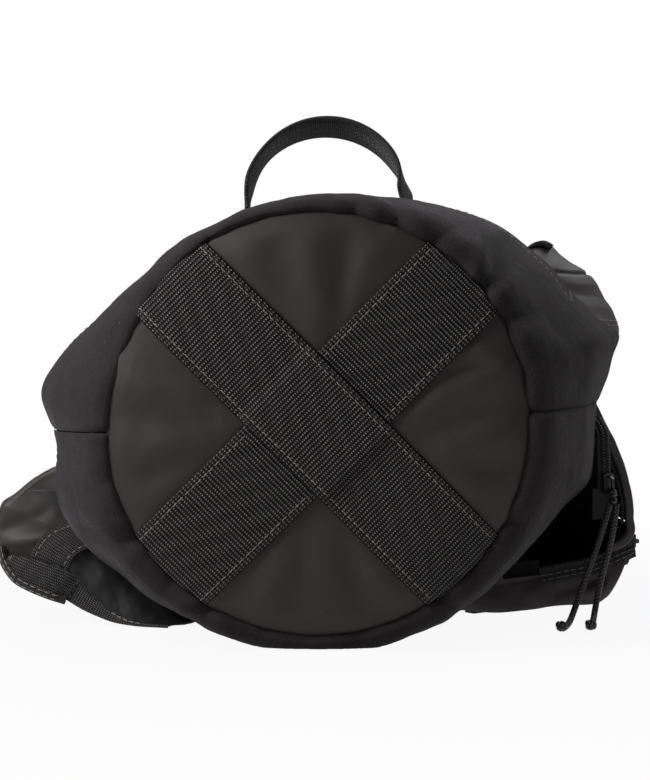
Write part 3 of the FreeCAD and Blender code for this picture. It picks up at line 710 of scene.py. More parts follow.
def braidedCord(side, spec):
    line = evenLine(routeLine(spec["routes"][side]), 0.3)
    size = distanceAlong(line)[-1]
    cloth = Cloth()
    sides = 36
    cloth.tube(line, spec["diameter"] / 2, sides)
    points = cloth.points[0].reshape(len(line), sides, 3)
    far = np.arange(len(line))[:, None] * 0.3
    turn = np.linspace(0, 1, sides, endpoint=False)[None, :] * spec["braidColumns"]
    column = np.floor(turn)
    inside = turn - column
    lean = np.where(column % 2 == 0, inside, 1 - inside)
    strand = np.abs(np.sin(math.pi * (far / spec["chevron"] + lean * 0.9)))
    edge = np.sin(math.pi * inside) ** 0.6
    lift = spec["relief"] * (strand ** 0.7 * edge - 1.0)
    outward = unit(points - line[:, None])
    cloth.points[0] = (points + outward * lift[..., None]).reshape(-1, 3)
    name = "pullCord" + side.capitalize()
    piece = cloth.make(name, cordBraidPaintedLight, "side_slider", ["pull_cord_" + side])
    return piece, line, size


def cordKnot(side, line, spec):
    # an overhand knot with a short frayed tail, where the tail of the cord ends
    low, high = [np.array(v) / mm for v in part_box("cord_knot_" + side)]
    middle = (low + high) / 2
    heading = line[-1] - line[-4]
    heading[2] = 0
    heading = unit(heading)
    sideways = np.cross(heading, (0, 0, 1))
    t = np.linspace(0, 2 * math.pi, 90, endpoint=False)
    wrap = (np.sin(t) + 2 * np.sin(2 * t), np.cos(t) - 2 * np.cos(2 * t), -np.sin(3 * t))
    path = (middle + heading * (wrap[0] * 0.62)[:, None] + sideways * (wrap[1] * 0.62)[:, None]
            + np.array((0, 0, 1)) * (wrap[2] * 1.15)[:, None])
    cloth = Cloth()
    cloth.tube(path, spec["diameter"] / 2 * 0.84, 14, closed=True)
    tail = (middle + heading * np.linspace(0.5, 3.6, 6)[:, None]
            + np.array((0, 0, -1)) * np.linspace(0, 1.2, 6)[:, None])
    cloth.tube(tail, np.linspace(1.5, 1.1, 6), 12)
    return cloth.make("cordKnot" + side.capitalize(), cordBraidPaintedLight, "side_slider",
                      ["cord_knot_" + side])


def makeCords(spec):
    for side in ("left", "right"):
        piece, line, size = braidedCord(side, spec)
        knot = cordKnot(side, line, spec)
        print("cord", side, round(size, 1))
    low, high = [np.array(v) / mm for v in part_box("cord_hitch")]
    middle = (low + high) / 2
    cloth = Cloth()
    for shift, lean in ((-1.6, 0.5), (1.2, -0.3)):
        t = np.linspace(0, 2 * math.pi, 40, endpoint=False)
        loop = np.stack([middle[0] + 0.9 * np.cos(t), middle[1] + 2.9 * np.sin(t),
                         middle[2] + shift + lean * np.sin(t)], 1)
        cloth.tube(loop, 1.45, 12, closed=True)
    loop = np.linspace(-1, 1, 24)
    over = np.stack([middle[0] + 1.0 - 1.6 * np.abs(loop) ** 2, middle[1] + 2.0 * loop,
                     high[2] - 0.4 - 5.0 * np.abs(loop) ** 2], 1)
    cloth.tube(over, 1.2, 12)
    cloth.make("cordHitch", cordBraidPaintedLight, "side_slider", ["cord_hitch"])


makeCords(cordSpec)
print("cords made")


# round base

def domeHeight(radius):
    # how far the drum tight base stands out in front of its seam
    share = np.clip(np.asarray(radius, float) / baseSpec["radius"], 0, 1)
    return baseSpec["rise"] * (1 - share ** 4) ** baseSpec["edgeRoundness"]


foldSpec = {
    # soft creases in the base cloth: start x z, end x z, half width, height
    "ridges": [
        (-4, 98, 1, 38, 11, 1.5), (28, 92, 14, 55, 9, 1.0), (-34, 92, -22, 55, 12, 0.9),
        (70, 40, 101, 27, 5, 1.2), (48, 6, 99, 30, 7, 1.6), (60, -14, 100, -4, 8, 1.5),
        (52, -22, 92, -36, 8, 1.0),
        (-98, 22, -50, 10, 9, 1.2), (-101, -14, -48, -8, 10, 1.0), (-92, -42, -54, -22, 9, 0.8),
        (-30, -96, -12, -52, 9, 1.3), (8, -100, 2, -48, 10, 1.0), (42, -88, 20, -54, 8, 1.1),
    ],
    "valleys": [
        (17, 92, 9, 40, 7, 1.3), (96, 34, 62, 24, 5, 1.2), (100, 12, 52, -4, 6, 1.5),
        (98, -20, 56, -22, 6, 1.2), (-20, 96, -12, 60, 9, 0.6),
        (-100, 4, -52, 0, 8, 1.0), (-96, -30, -58, -16, 7, 0.7),
        (-12, -100, -4, -50, 8, 1.0), (28, -98, 12, -52, 7, 0.9),
    ],
    "strength": 1.15,
    "width": 0.95,
}


def toSegment(x, z, x0, z0, x1, z1):
    # share along a straight segment and distance from it, at each place
    dx = x1 - x0
    dz = z1 - z0
    t = np.clip(((x - x0) * dx + (z - z0) * dz) / (dx * dx + dz * dz), 0, 1)
    return t, np.hypot(x - x0 - dx * t, z - z0 - dz * t)


def creaseField(x, z, spec):
    total = np.zeros_like(x)
    for sign, name in ((1.0, "ridges"), (-1.0, "valleys")):
        for x0, z0, x1, z1, wide, high in spec[name]:
            t, far = toSegment(x, z, x0, z0, x1, z1)
            ends = np.sin(math.pi * np.clip(0.12 + 0.76 * t, 0, 1))
            near = np.exp(-(far / (wide * spec["width"])) ** 2)
            total += sign * high * spec["strength"] * ends * near
    return total


def basePanel():
    spec = baseSpec
    rings = 110
    columns = 360
    share = np.linspace(0.012, 1.0, rings) ** 0.85
    turn = np.linspace(0, 2 * math.pi, columns, endpoint=False)
    radius = share[:, None] * (spec["radius"] + 0.6)
    x = radius * np.cos(turn)[None, :]
    z = radius * np.sin(turn)[None, :]
    high = domeHeight(radius) * np.ones_like(x)
    calm = np.clip((spec["radius"] - radius) / 10.0, 0, 1)
    diagonal = np.minimum(np.abs(x - z), np.abs(x + z)) / math.sqrt(2)
    free = np.clip((diagonal - 22.0) / 9.0, 0, 1)
    flat = np.stack([x.ravel(), z.ravel(), np.zeros(x.size)], 1)
    rumple = softNoise(flat, 26.0, 4.0) * 0.8 + softNoise(flat, 9.0, 9.0) * 0.12
    rumple = rumple.reshape(x.shape)
    puff = 1.1 * np.clip((diagonal - 26.0) / 22.0, 0, 1) ** 0.7
    high = high + calm * (free * (creaseField(x, z, foldSpec) + rumple) + puff) - 0.4
    back = np.clip((radius - spec["radius"] + 1.5) / 2.0, 0, 1)
    y = spec["seamY"] - high + 2.4 * back
    cloth = Cloth()
    grid = np.stack([x, y, z + spec["height"]], -1)
    cloth.grid(grid, closed=True, maps=np.stack([x, z], -1))
    middle = np.array([[0.0, spec["seamY"] - spec["rise"] + 0.4, spec["height"]]])
    cloth.add(middle, [], np.zeros((1, 2)))
    top = cloth.count - 1
    cloth.faces += [(top, (c + 1) % columns, c) for c in range(columns)]
    piece = cloth.make("basePanel", baseNylon,
                       replaces=["base_panel", "base_foam"], thickness=spec["thickness"])


basePanel()

strapSpec = {
    "half": 25.0,
    "reach": 108.0,
    "thickness": 1.7,
    "ribPitch": 2.1,
    "ribHeight": 0.55,
    "selvedge": 3.9,
    "lift": 2.1,
    "stitch": {"pitch": 4.2, "length": 3.2, "thread": 0.42, "lift": 0.4},
}


def strapHeight(along, across, over, spec):
    radius = np.hypot(along, across)
    high = domeHeight(np.minimum(radius, baseSpec["radius"])) + 0.5 + spec["thickness"] * 0.5
    sunk = np.clip(radius - (baseSpec["radius"] - 1.0), 0, None)
    high = high - 1.6 * sunk
    if over:
        edge = np.clip((spec["half"] + 7.0 - np.abs(along)) / 7.0, 0, 1)
        high = high + spec["lift"] * edge * edge * (3 - 2 * edge)
    return high


def ribProfile(along, across, spec):
    # rounded ribs across the webbing, and a corded selvedge whose loops span two ribs
    rib = np.abs(np.sin(math.pi * along / spec["ribPitch"])) ** 0.8
    inner = spec["half"] - spec["selvedge"]
    edge = np.clip((np.abs(across) - inner) / 0.5, 0, 1)
    lean = (np.abs(across) - inner) * 0.5
    loop = np.abs(np.sin(math.pi * (along + lean) / (2 * spec["ribPitch"]))) ** 0.7
    groove = 0.5 * np.exp(-((np.abs(across) - inner) / 0.45) ** 2)
    turned = np.clip((np.abs(across) - spec["half"] + 1.2) / 1.2, 0, 1) ** 2
    return spec["ribHeight"] * (rib * (1 - edge) + loop * edge * 1.1 - groove) - turned * 0.5


def crossStrap(name, angle, over, node, spec):
    step = spec["ribPitch"] / 6.0
    rows = int(2 * spec["reach"] / step)
    along = np.linspace(-spec["reach"], spec["reach"], rows)[:, None]
    across = np.linspace(-spec["half"], spec["half"], 68)[None, :]
    wander = 0.25 * np.sin(along / 31.0 + angle)
    s = along + 0 * across
    w = across + 0 * along
    high = strapHeight(s, w, over, spec) + spec["thickness"] / 2 + ribProfile(s, w, spec)
    turn = math.radians(angle)
    # seen from the front, the strap runs down to the right for a positive angle
    x = s * math.cos(turn) + (w + wander) * math.sin(turn)
    z = -s * math.sin(turn) + (w + wander) * math.cos(turn)
    y = baseSpec["seamY"] - high
    grid = np.stack([x, y, z + baseSpec["height"]], -1)
    cloth = Cloth()
    columns = grid.shape[1]
    maps = np.stack([w, s], -1)
    faces = [(c, c + columns, c + columns + 1, c + 1)
             for r in range(rows - 1) for c in range(r * columns, (r + 1) * columns - 1)]
    cloth.add(grid, faces, maps)
    cloth.make(name, webbing, replaces=[node], thickness=spec["thickness"])
    rowsCloth = Cloth()
    inner = spec["half"] - spec["selvedge"]
    for k, sign in enumerate((-1, 1)):
        t = np.linspace(-baseSpec["radius"], baseSpec["radius"], 300)
        v = sign * inner + 0 * t
        h = strapHeight(t, v, over, spec) + spec["thickness"] / 2 + spec["ribHeight"] * 0.55
        drift = v + 0.25 * np.sin(t / 31.0 + angle)
        line = np.stack([t * math.cos(turn) + drift * math.sin(turn), baseSpec["seamY"] - h,
                         -t * math.sin(turn) + drift * math.cos(turn) + baseSpec["height"]], 1)
        reach = np.hypot(t, v) < baseSpec["radius"] - 0.3
        normals = np.tile((0.0, -1.0, 0.0), (len(t), 1))
        for use in ([reach] if over else [reach & (t < -spec["half"]), reach & (t > spec["half"])]):
            seed = (21 if over else 11) + k
            sewRow(rowsCloth, line[use], normals[use], dict(spec["stitch"], seed=seed))
    rowsCloth.make(name + "Stitches", thread)


crossStrap("crossStrapUnder", -45, False, "cross_strap_under", strapSpec)
crossStrap("crossStrapOver", 45, True, "cross_strap_over", strapSpec)
print("base made")


# canvas band

bandSpec = {
    "edge": [(152.5, 112), (153.5, 121), (159.5, 136), (162.5, 148), (165, 158), (156, 165),
             (146.5, 174), (137.5, 183), (128, 195), (116, 205.5), (102, 216), (84, 223.5),
             (0, 231), (-63, 212), (-122, 165.5), (-135.5, 153), (-145.5, 140.5), (-151.5, 127.5),
             (-144.5, 104), (-143, 72), (-100, 22), (-40, -1.5), (40, -1.5), (88, 16), (122, 50),
             (136, 64), (149.5, 79), (152, 94)],
    # how full the rolled rim stands by angle round the base
    "fullness": [(-180, 0.9), (-150, 1.15), (-120, 1.0), (-90, 1.0), (-60, 1.0), (-30, 1.1),
                 (0, 1.0), (30, 1.05), (55, 1.05), (68, 1.0), (82, 0.85), (98, 0.72), (120, 0.66),
                 (140, 0.74), (156, 0.85), (180, 0.9)],
    # how far the roll leans in over the base, in millimetres by angle
    "lean": [(-180, 3.5), (-168, 1.5), (-155, 0.0), (122, 0.0), (136, 3.0), (150, 5.5), (168, 5.5),
             (180, 3.5)],
    # rows of the profile: depth behind the seam, ring radius, share of the rear outline
    "profile": [(6.0, 104.0, 0.0), (1.5, 104.2, 0.0), (-1.8, 105.2, 0.0), (-3.2, 107.4, 0.0),
                (-2.4, 110.4, 0.02), (1.4, 113.6, 0.06), (8.0, 115.2, 0.15), (20.0, 115.6, 0.32),
                (45.0, 114.0, 0.66), (74.0, 114.0, 0.87), (98.0, 114.0, 1.0)],
    "rows": 150,
    "columns": 900,
    "thickness": 1.6,
    # puckers: angle round the base, drift, depth, reach and half width, in degrees and millimetres
    "puckers": [(145, 6, 2.6, 34, 2.2), (121, -4, 1.6, 22, 2.2), (103, 3, 1.2, 16, 2.5),
                (81, -3, 2.4, 18, 2.4), (68, 8, 3.0, 40, 3.0), (58, -6, 2.0, 26, 2.4),
                (38.5, 9, 4.6, 44, 2.6), (29, -5, 3.4, 36, 3.2), (14, 4, 1.2, 26, 3.2),
                (3.9, -1, 2.8, 16, 2.0), (-27.7, 5, 2.8, 26, 2.6), (-42, -5, 1.4, 24, 3.2),
                (-55.8, 6, 3.0, 22, 2.2), (-80, 4, 1.0, 16, 3.0), (-103, -4, 1.2, 14, 2.6),
                (-119.6, -5, 3.0, 26, 2.4), (-133, 4, 1.4, 28, 3.4), (-147.6, -6, 3.4, 36, 2.6),
                (-165, 4, 1.4, 34, 3.6), (162, -4, 1.6, 34, 3.4)],
    "sideSeams": (3.2, 182.2),
    "seamWidth": 7.0,
    "seamThickness": 1.2,
    "meanRadius": 130.0,
    # stitches: depth behind the seam, first and last angle of the dark rows, step in degrees
    "stitchDepth": 91.0,
    "darkRuns": ((6, 24), (63, 178), (186, 354)),
    # the light row dips towards the pocket: angles and depths, then its hooked end
    "lightRow": ((25, 50, 62), (66.0, 80.0, 91.0)),
    "hook": (66.0, 98.0, 0.07),
}


def roundBase(pairs, angles):
    # values given by angle in degrees, smoothed and read round the base
    values = np.interp(np.degrees(angles), *zip(*pairs))
    wrapped = np.concatenate([values[-20:], values, values[:20]])
    return np.convolve(wrapped, np.ones(41) / 41, "valid")


def bandGrid(spec, angles, share):
    # base shape of the band on a grid of profile shares and angles
    far = np.array([math.hypot(a[0] - b[0], a[1] - b[1]) + 30 * abs(a[2] - b[2])
                    for a, b in zip(spec["profile"][1:], spec["profile"])])
    keys = np.concatenate([[0], np.cumsum(far)]) / far.sum()
    rows = smoothThrough(keys, spec["profile"], share)
    edge = radiusAt(spec["edge"], (0, baseSpec["height"]), angles)
    full = roundBase(spec["fullness"], angles)
    ring = baseSpec["radius"] - 1 + (rows[:, 1:2] - baseSpec["radius"] + 1) * full[None, :]
    lean = roundBase(spec["lean"], angles)[None, :] * np.clip(1 - share[:, None] / 0.3, 0, 1)
    ring = ring - lean
    radius = ring * (1 - rows[:, 2:3]) + edge[None, :] * rows[:, 2:3]
    x = radius * np.cos(angles)[None, :]
    z = baseSpec["height"] + radius * np.sin(angles)[None, :]
    y = baseSpec["seamY"] + rows[:, :1] - 0.3 * lean
    return np.stack([x, y, z], -1), rows[:, 0]


def bandLift(spec, grid, angles, share):
    # creases that pull in at the seam, fuller cloth between them, and slack folds behind
    size = np.linalg.norm(np.diff(grid, axis=0), axis=2).mean(1)
    far = np.concatenate([[0], np.cumsum(size)])[:, None]
    lift = np.zeros(grid.shape[:2])
    for angle, drift, pull, reach, wide in spec["puckers"]:
        run = np.clip(far / reach, 0, 3)
        centre = math.radians(angle) + math.radians(drift) * run * 0.5
        apart = np.degrees((angles[None, :] - centre + math.pi) % (2 * math.pi) - math.pi)
        spread = wide * (0.55 + 0.75 * run)
        fade = np.exp(-run ** 2 * 1.1) * np.clip((far - 3.0) / 6.0, 0.0, 1)
        lift -= 1.2 * pull * fade * np.exp(-(np.abs(apart) / spread) ** 1.35)
        lift += pull * 0.35 * fade * (np.exp(-((apart - 2.1 * spread) / (1.3 * spread)) ** 2)
                                      + np.exp(-((apart + 2.1 * spread) / (1.3 * spread)) ** 2))
    ring = np.stack([np.cos(angles), np.sin(angles), 0 * angles], 1) * spec["meanRadius"]
    slack = softNoise(ring, 34.0, 2.0)[None, :] * 1.3 * np.clip(far / 60.0, 0, 1)
    flat = grid.reshape(-1, 3) * np.array((1.0, 0.45, 1.0))
    rumple = softNoise(flat, 24.0, 6.0).reshape(lift.shape) * 1.2
    fine = softNoise(grid.reshape(-1, 3), 9.0, 12.0).reshape(lift.shape) * 0.25
    rear = np.clip((1.0 - share[:, None]) / 0.3, 0, 1)
    lift -= (slack + rumple + fine) * np.clip((far - 4.0) / 14.0, 0, 1) * (0.35 + 0.65 * rear)
    for angle in spec["sideSeams"]:
        apart = ((np.degrees(angles)[None, :] - angle + 180) % 360) - 180
        apart = np.radians(apart) * spec["meanRadius"]
        seam = 2.0 * np.exp(-(apart / 1.3) ** 2) - 0.4 * np.exp(-((np.abs(apart) - 4.5) / 3.0) ** 2)
        lift -= seam * np.clip((far + 1.0) / 5.0, 0, 1) * (1.2 - 0.85 * np.clip(far / 60.0, 0, 1))
    return lift


def makeBand(spec):
    angles = np.linspace(-math.pi, math.pi, spec["columns"], endpoint=False)
    share = np.linspace(0, 1, spec["rows"])
    grid, depths = bandGrid(spec, angles, share)
    normals = gridNormals(grid, True)
    lift = bandLift(spec, grid, angles, share)
    grid = grid + normals * lift[..., None]
    # the underside lies flat on the table
    grid[..., 2] = np.maximum(grid[..., 2], 0.5)
    right, left = spec["sideSeams"]
    degrees = np.degrees(angles)
    for half, first, last in (("Top", right, left), ("Under", left - 360, right)):
        turned = np.where(degrees < first - 0.01, degrees + 360, degrees)
        order = np.argsort(turned)
        use = order[(turned[order] > first + 0.1) & (turned[order] < last - 0.1)]
        start, end = [np.array([[[np.interp(angle, turned[order], row[order, k])
                                  for k in range(3)]] for row in grid])
                      for angle in (first, last)]
        keep = np.concatenate([start, grid[:, use], end], 1)
        cloth = Cloth()
        cloth.grid(keep, flip=True, shift=200.0 if half == "Top" else 0.0)
        cloth.make("band" + half, canvas,
                   replaces=["lower_band_" + half.lower()], thickness=spec["thickness"])
    return Skin(grid, normals, angles, depths)


bandSkin = makeBand(bandSpec)


def bandSeam(spec):
    # the bound edges of band and body, turned in behind the band
    ring = bandSkin.grid[-1] - bandSkin.normals[-1] * 1.8
    middle = np.array((0.0, 0.0, baseSpec["height"]))
    inward = unit((middle - ring) * np.array((1, 0, 1)))
    share = np.linspace(0, 1, 14)[:, None, None]
    grid = (ring[None] + inward[None] * share * spec["seamWidth"]
            + np.array((0, 1, 0)) * np.sin(share * math.pi) * 0.8)
    grid[..., 1] -= 1.2
    cloth = Cloth()
    cloth.grid(grid, closed=True)
    cloth.make("bandSeamBinding", binding, replaces=["band_seam_binding"],
               thickness=spec["seamThickness"])


def bandStitches(spec):
    # light thread along the slip pocket, dark thread round the rest
    turns, reaches = spec["lightRow"]
    first, last, drift = spec["hook"]
    light = Cloth()
    sewSpots(light, [bandSkin.at(math.radians(a), np.interp(a, turns, reaches))
                     for a in np.arange(turns[0], turns[-1], 0.6)], 31)
    sewSpots(light, [bandSkin.at(math.radians(turns[0] + drift * (d - first)), d)
                     for d in np.arange(first, last, 0.8)], 33)
    light.make("bandStitches", thread)
    dark = Cloth()
    for first, last in spec["darkRuns"]:
        sewSpots(dark, [bandSkin.at(math.radians(a), spec["stitchDepth"])
                        for a in np.arange(first, last, 0.6)], 31)
    dark.make("bandStitchesDark", darkThread)


bandSeam(bandSpec)
bandStitches(bandSpec)
print("band made")


# nylon body

bodySpec = {
    "front": [(146, 118), (156, 152), (126, 186), (98, 208), (79, 216), (0, 226), (-62, 207),
              (-114, 159), (-144, 127), (-138, 104), (-126, 74), (-60, 48), (0, 46), (60, 48),
              (108, 64), (143, 86)],
    "shoulder": [(150, 118), (158, 150), (150, 166), (138, 182), (122, 195), (104, 204), (86, 210),
                 (0, 225), (-70, 206), (-115, 158), (-143, 131), (-143, 104), (-122, 70),
                 (-66, 48), (0, 46), (66, 48), (118, 66), (145, 90)],
    "middle": [(155, 118), (167, 160), (152, 190), (92, 219), (0, 227), (-70, 207), (-115, 158),
               (-143, 131), (-143, 104), (-122, 70), (-66, 48), (0, 46), (66, 48), (118, 66),
               (145, 90)],
    "mouth": [(166, 82), (160, 98), (134, 110), (80, 114), (0, 115), (-80, 114), (-134, 110),
              (-160, 98), (-166, 80), (-154, 58), (-80, 47), (0, 46), (80, 47), (150, 56),
              (163, 68)],
    "depths": [90.0, 97.0, 118.0, 210.0, 300.0, 401.8],
    "centres": [(8, 130), (8, 130), (8, 130), (8, 130), (4, 108), (0, 80)],
    "rows": 210,
    "columns": 720,
    "thickness": 1.2,
    "seamZ": 80.0,
    "foldRadius": 140.0,
    "liningGap": 0.9,
    # the handle draws the cloth up round its feet: place across, reach to the left and right
    "drawnUp": {"feet": ((-42.8, 16.0, 36.0), (52.8, 36.0, 36.0)), "depth": 200.0, "height": 229.2,
                "long": 48.0},
    # soft folds: angle and depth at the start and at the end, in degrees and mm, width, height
    "folds": [(38, 112, 47, 150, 4, -2.2), (34, 114, 40, 160, 5, 1.8), (29, 112, 30, 168, 4, -1.6),
              (25, 116, 24, 150, 5, 1.4), (60, 200, 40, 280, 9, -2.6), (74, 214, 60, 300, 12, 2.4),
              (110, 205, 128, 290, 10, -2.6), (96, 215, 112, 300, 12, 2.2),
              (86, 230, 84, 330, 14, -1.8), (20, 230, 12, 330, 10, -2.4),
              (10, 240, 4, 340, 11, 2.2), (150, 120, 160, 210, 10, -2.0),
              (165, 140, 170, 260, 12, 2.0), (140, 240, 150, 350, 12, -2.2),
              (-160, 130, -168, 240, 10, -1.6), (175, 260, 178, 370, 9, -2.0),
              (0, 120, -6, 220, 9, -1.8), (-8, 130, -14, 240, 10, 1.6),
              (55, 320, 66, 396, 8, -2.0), (125, 330, 118, 396, 8, -2.0),
              (92, 350, 90, 398, 7, 1.6)],
}


def bodyGrid(spec):
    angles = np.linspace(-math.pi, math.pi, spec["columns"], endpoint=False)
    slack = np.array(spec["middle"]) * 0.55 + np.array(spec["mouth"]) * 0.45
    outlines = [spec["front"], spec["front"], spec["shoulder"], spec["middle"], slack,
                spec["mouth"]]
    radii = np.array([radiusAt(o, c, angles) for o, c in zip(outlines, spec["centres"])])
    depths = np.linspace(spec["depths"][0], spec["depths"][-1], spec["rows"])
    radius = smoothThrough(spec["depths"], radii, depths)
    centre = smoothThrough(spec["depths"], np.array(spec["centres"], float), depths)
    x = centre[:, :1] + radius * np.cos(angles)[None, :]
    z = centre[:, 1:] + radius * np.sin(angles)[None, :]
    y = np.broadcast_to(baseSpec["seamY"] + depths[:, None], x.shape)
    drawn = spec["drawnUp"]
    long = ((depths[:, None] - drawn["depth"]) / drawn["long"]) ** 4
    near = np.max([1 / (1 + ((x - foot) / np.where(x < foot, left, right)) ** 4 + long)
                   for foot, left, right in drawn["feet"]], axis=0)
    z = z + np.maximum(drawn["height"] - z, 0) * near * np.clip((z - 150) / 30, 0, 1)
    grid = np.stack([x, y, z], -1)
    normals = gridNormals(grid, True)
    turned = np.degrees(angles)[None, :]
    lift = np.zeros(x.shape)
    for a0, d0, a1, d1, wide, high in spec["folds"]:
        t = np.clip((depths[:, None] - d0) / (d1 - d0), 0, 1)
        apart = (turned - (a0 + (a1 - a0) * t) + 180) % 360 - 180
        apart = np.radians(apart) * spec["foldRadius"]
        before = np.clip(np.abs(depths[:, None] - (d0 + d1) / 2) - abs(d1 - d0) / 2, 0, None)
        ends = np.sin(math.pi * np.clip(0.15 + 0.7 * t, 0, 1))
        lift += high * ends * np.exp(-(apart / wide) ** 2 - (before / 9.0) ** 2)
    flat = grid.reshape(-1, 3) * np.array((1.0, 0.55, 1.0))
    for size, seed, high in ((42.0, 3.0, 1.8), (13.0, 8.0, 0.45)):
        lift -= softNoise(flat, size, seed).reshape(x.shape) * high
    calm = np.clip((depths[:, None] - 92) / 12, 0, 1) * np.clip((402 - depths[:, None]) / 10, 0, 1)
    under = np.clip((z - 52) / 10, 0.1, 1)
    grid = grid + normals * (lift * calm * under)[..., None]
    side = np.clip(1 - np.abs(z - spec["seamZ"]) / 2.2, 0, 1)
    side = side * np.clip((depths[:, None] - 100) / 6, 0, 1)
    grid = grid - normals * (side * 0.9)[..., None]
    return Skin(grid, normals, angles, depths)


bodySkin = bodyGrid(bodySpec)


def bodyPieces(spec, skin):
    cloth = Cloth()
    cloth.grid(skin.grid, flip=True)
    closing = np.stack([skin.grid[:, -1], skin.grid[:, 0]], 1)
    cloth.grid(closing, flip=True)
    cloth.make("bodyPanels", bodyNylon,
               replaces=["body_upper_panel", "body_under_panel"], thickness=spec["thickness"])
    inside = Cloth()
    inner = skin.grid - skin.normals * (spec["thickness"] + spec["liningGap"])
    inside.grid(inner[:-6], closed=True)
    inside.make("mainLining", lining, replaces=["main_lining"])
    sewn = Cloth()
    piping = Cloth()
    for right in (True, False):
        seam, above, below = [[skin.beside(d, spec["seamZ"] + shift, right)
                               for d in np.arange(104, 400, 3.0)] for shift in (0.0, 3.2, -3.2)]
        piping.tube([point + normal * 0.3 for point, normal in seam], 1.1, 8)
        sewSpots(sewn, above, 41)
        sewSpots(sewn, below, 41)
    for first, last, depthValue, seed in ((-12, 198, 104.0, 43), (-180, 180, 395.0, 44)):
        sewSpots(sewn, [skin.at(a, depthValue) for a in np.radians(np.arange(first, last, 0.6))],
                 seed)
    sewn.make("bodyStitches", darkThread)
    piping.make("sidePiping", binding)


bodyPieces(bodySpec, bodySkin)
print("body made")


# slip pocket on the upper right

slipSpec = {
    # line of the pocket below the band's edge, its fullest line, and at its rear end
    "front": [(112, 202.5), (114, 202), (117, 200.5), (120, 198), (124, 194.5), (128, 190),
              (134, 183), (141, 175.5), (148, 168), (153, 163), (157, 157), (158, 150),
              (154, 138)],
    "crest": [(115, 203), (120, 208), (127, 209.5), (131, 208), (135.5, 203.5), (142.5, 198.5),
              (152, 193), (160, 181.5), (165, 172), (168.5, 164), (169, 158), (165, 147),
              (158, 135)],
    "rear": [(112, 194), (118, 199), (127, 199), (133, 196), (140, 191), (147, 185), (152, 179),
             (157, 170), (161, 160), (162.5, 152), (162, 144), (160, 134), (156, 124)],
    "depths": (94.0, 124.0, 204.0),
    # height of each crease, its half width and how deep it is
    "creases": [(193.5, 0.8, 1.7), (187.0, 3.0, -0.4), (179.5, 2.6, 0.35), (171.5, 3.0, -0.3)],
    "seamZ": 163.0,
    "thickness": 1.2,
    "clear": 1.5,
    "ribPitch": 1.6,
    "strip": [(115.0, 204.6), (119.5, 207.8), (125.0, 208.9), (129.6, 206.6)],
}


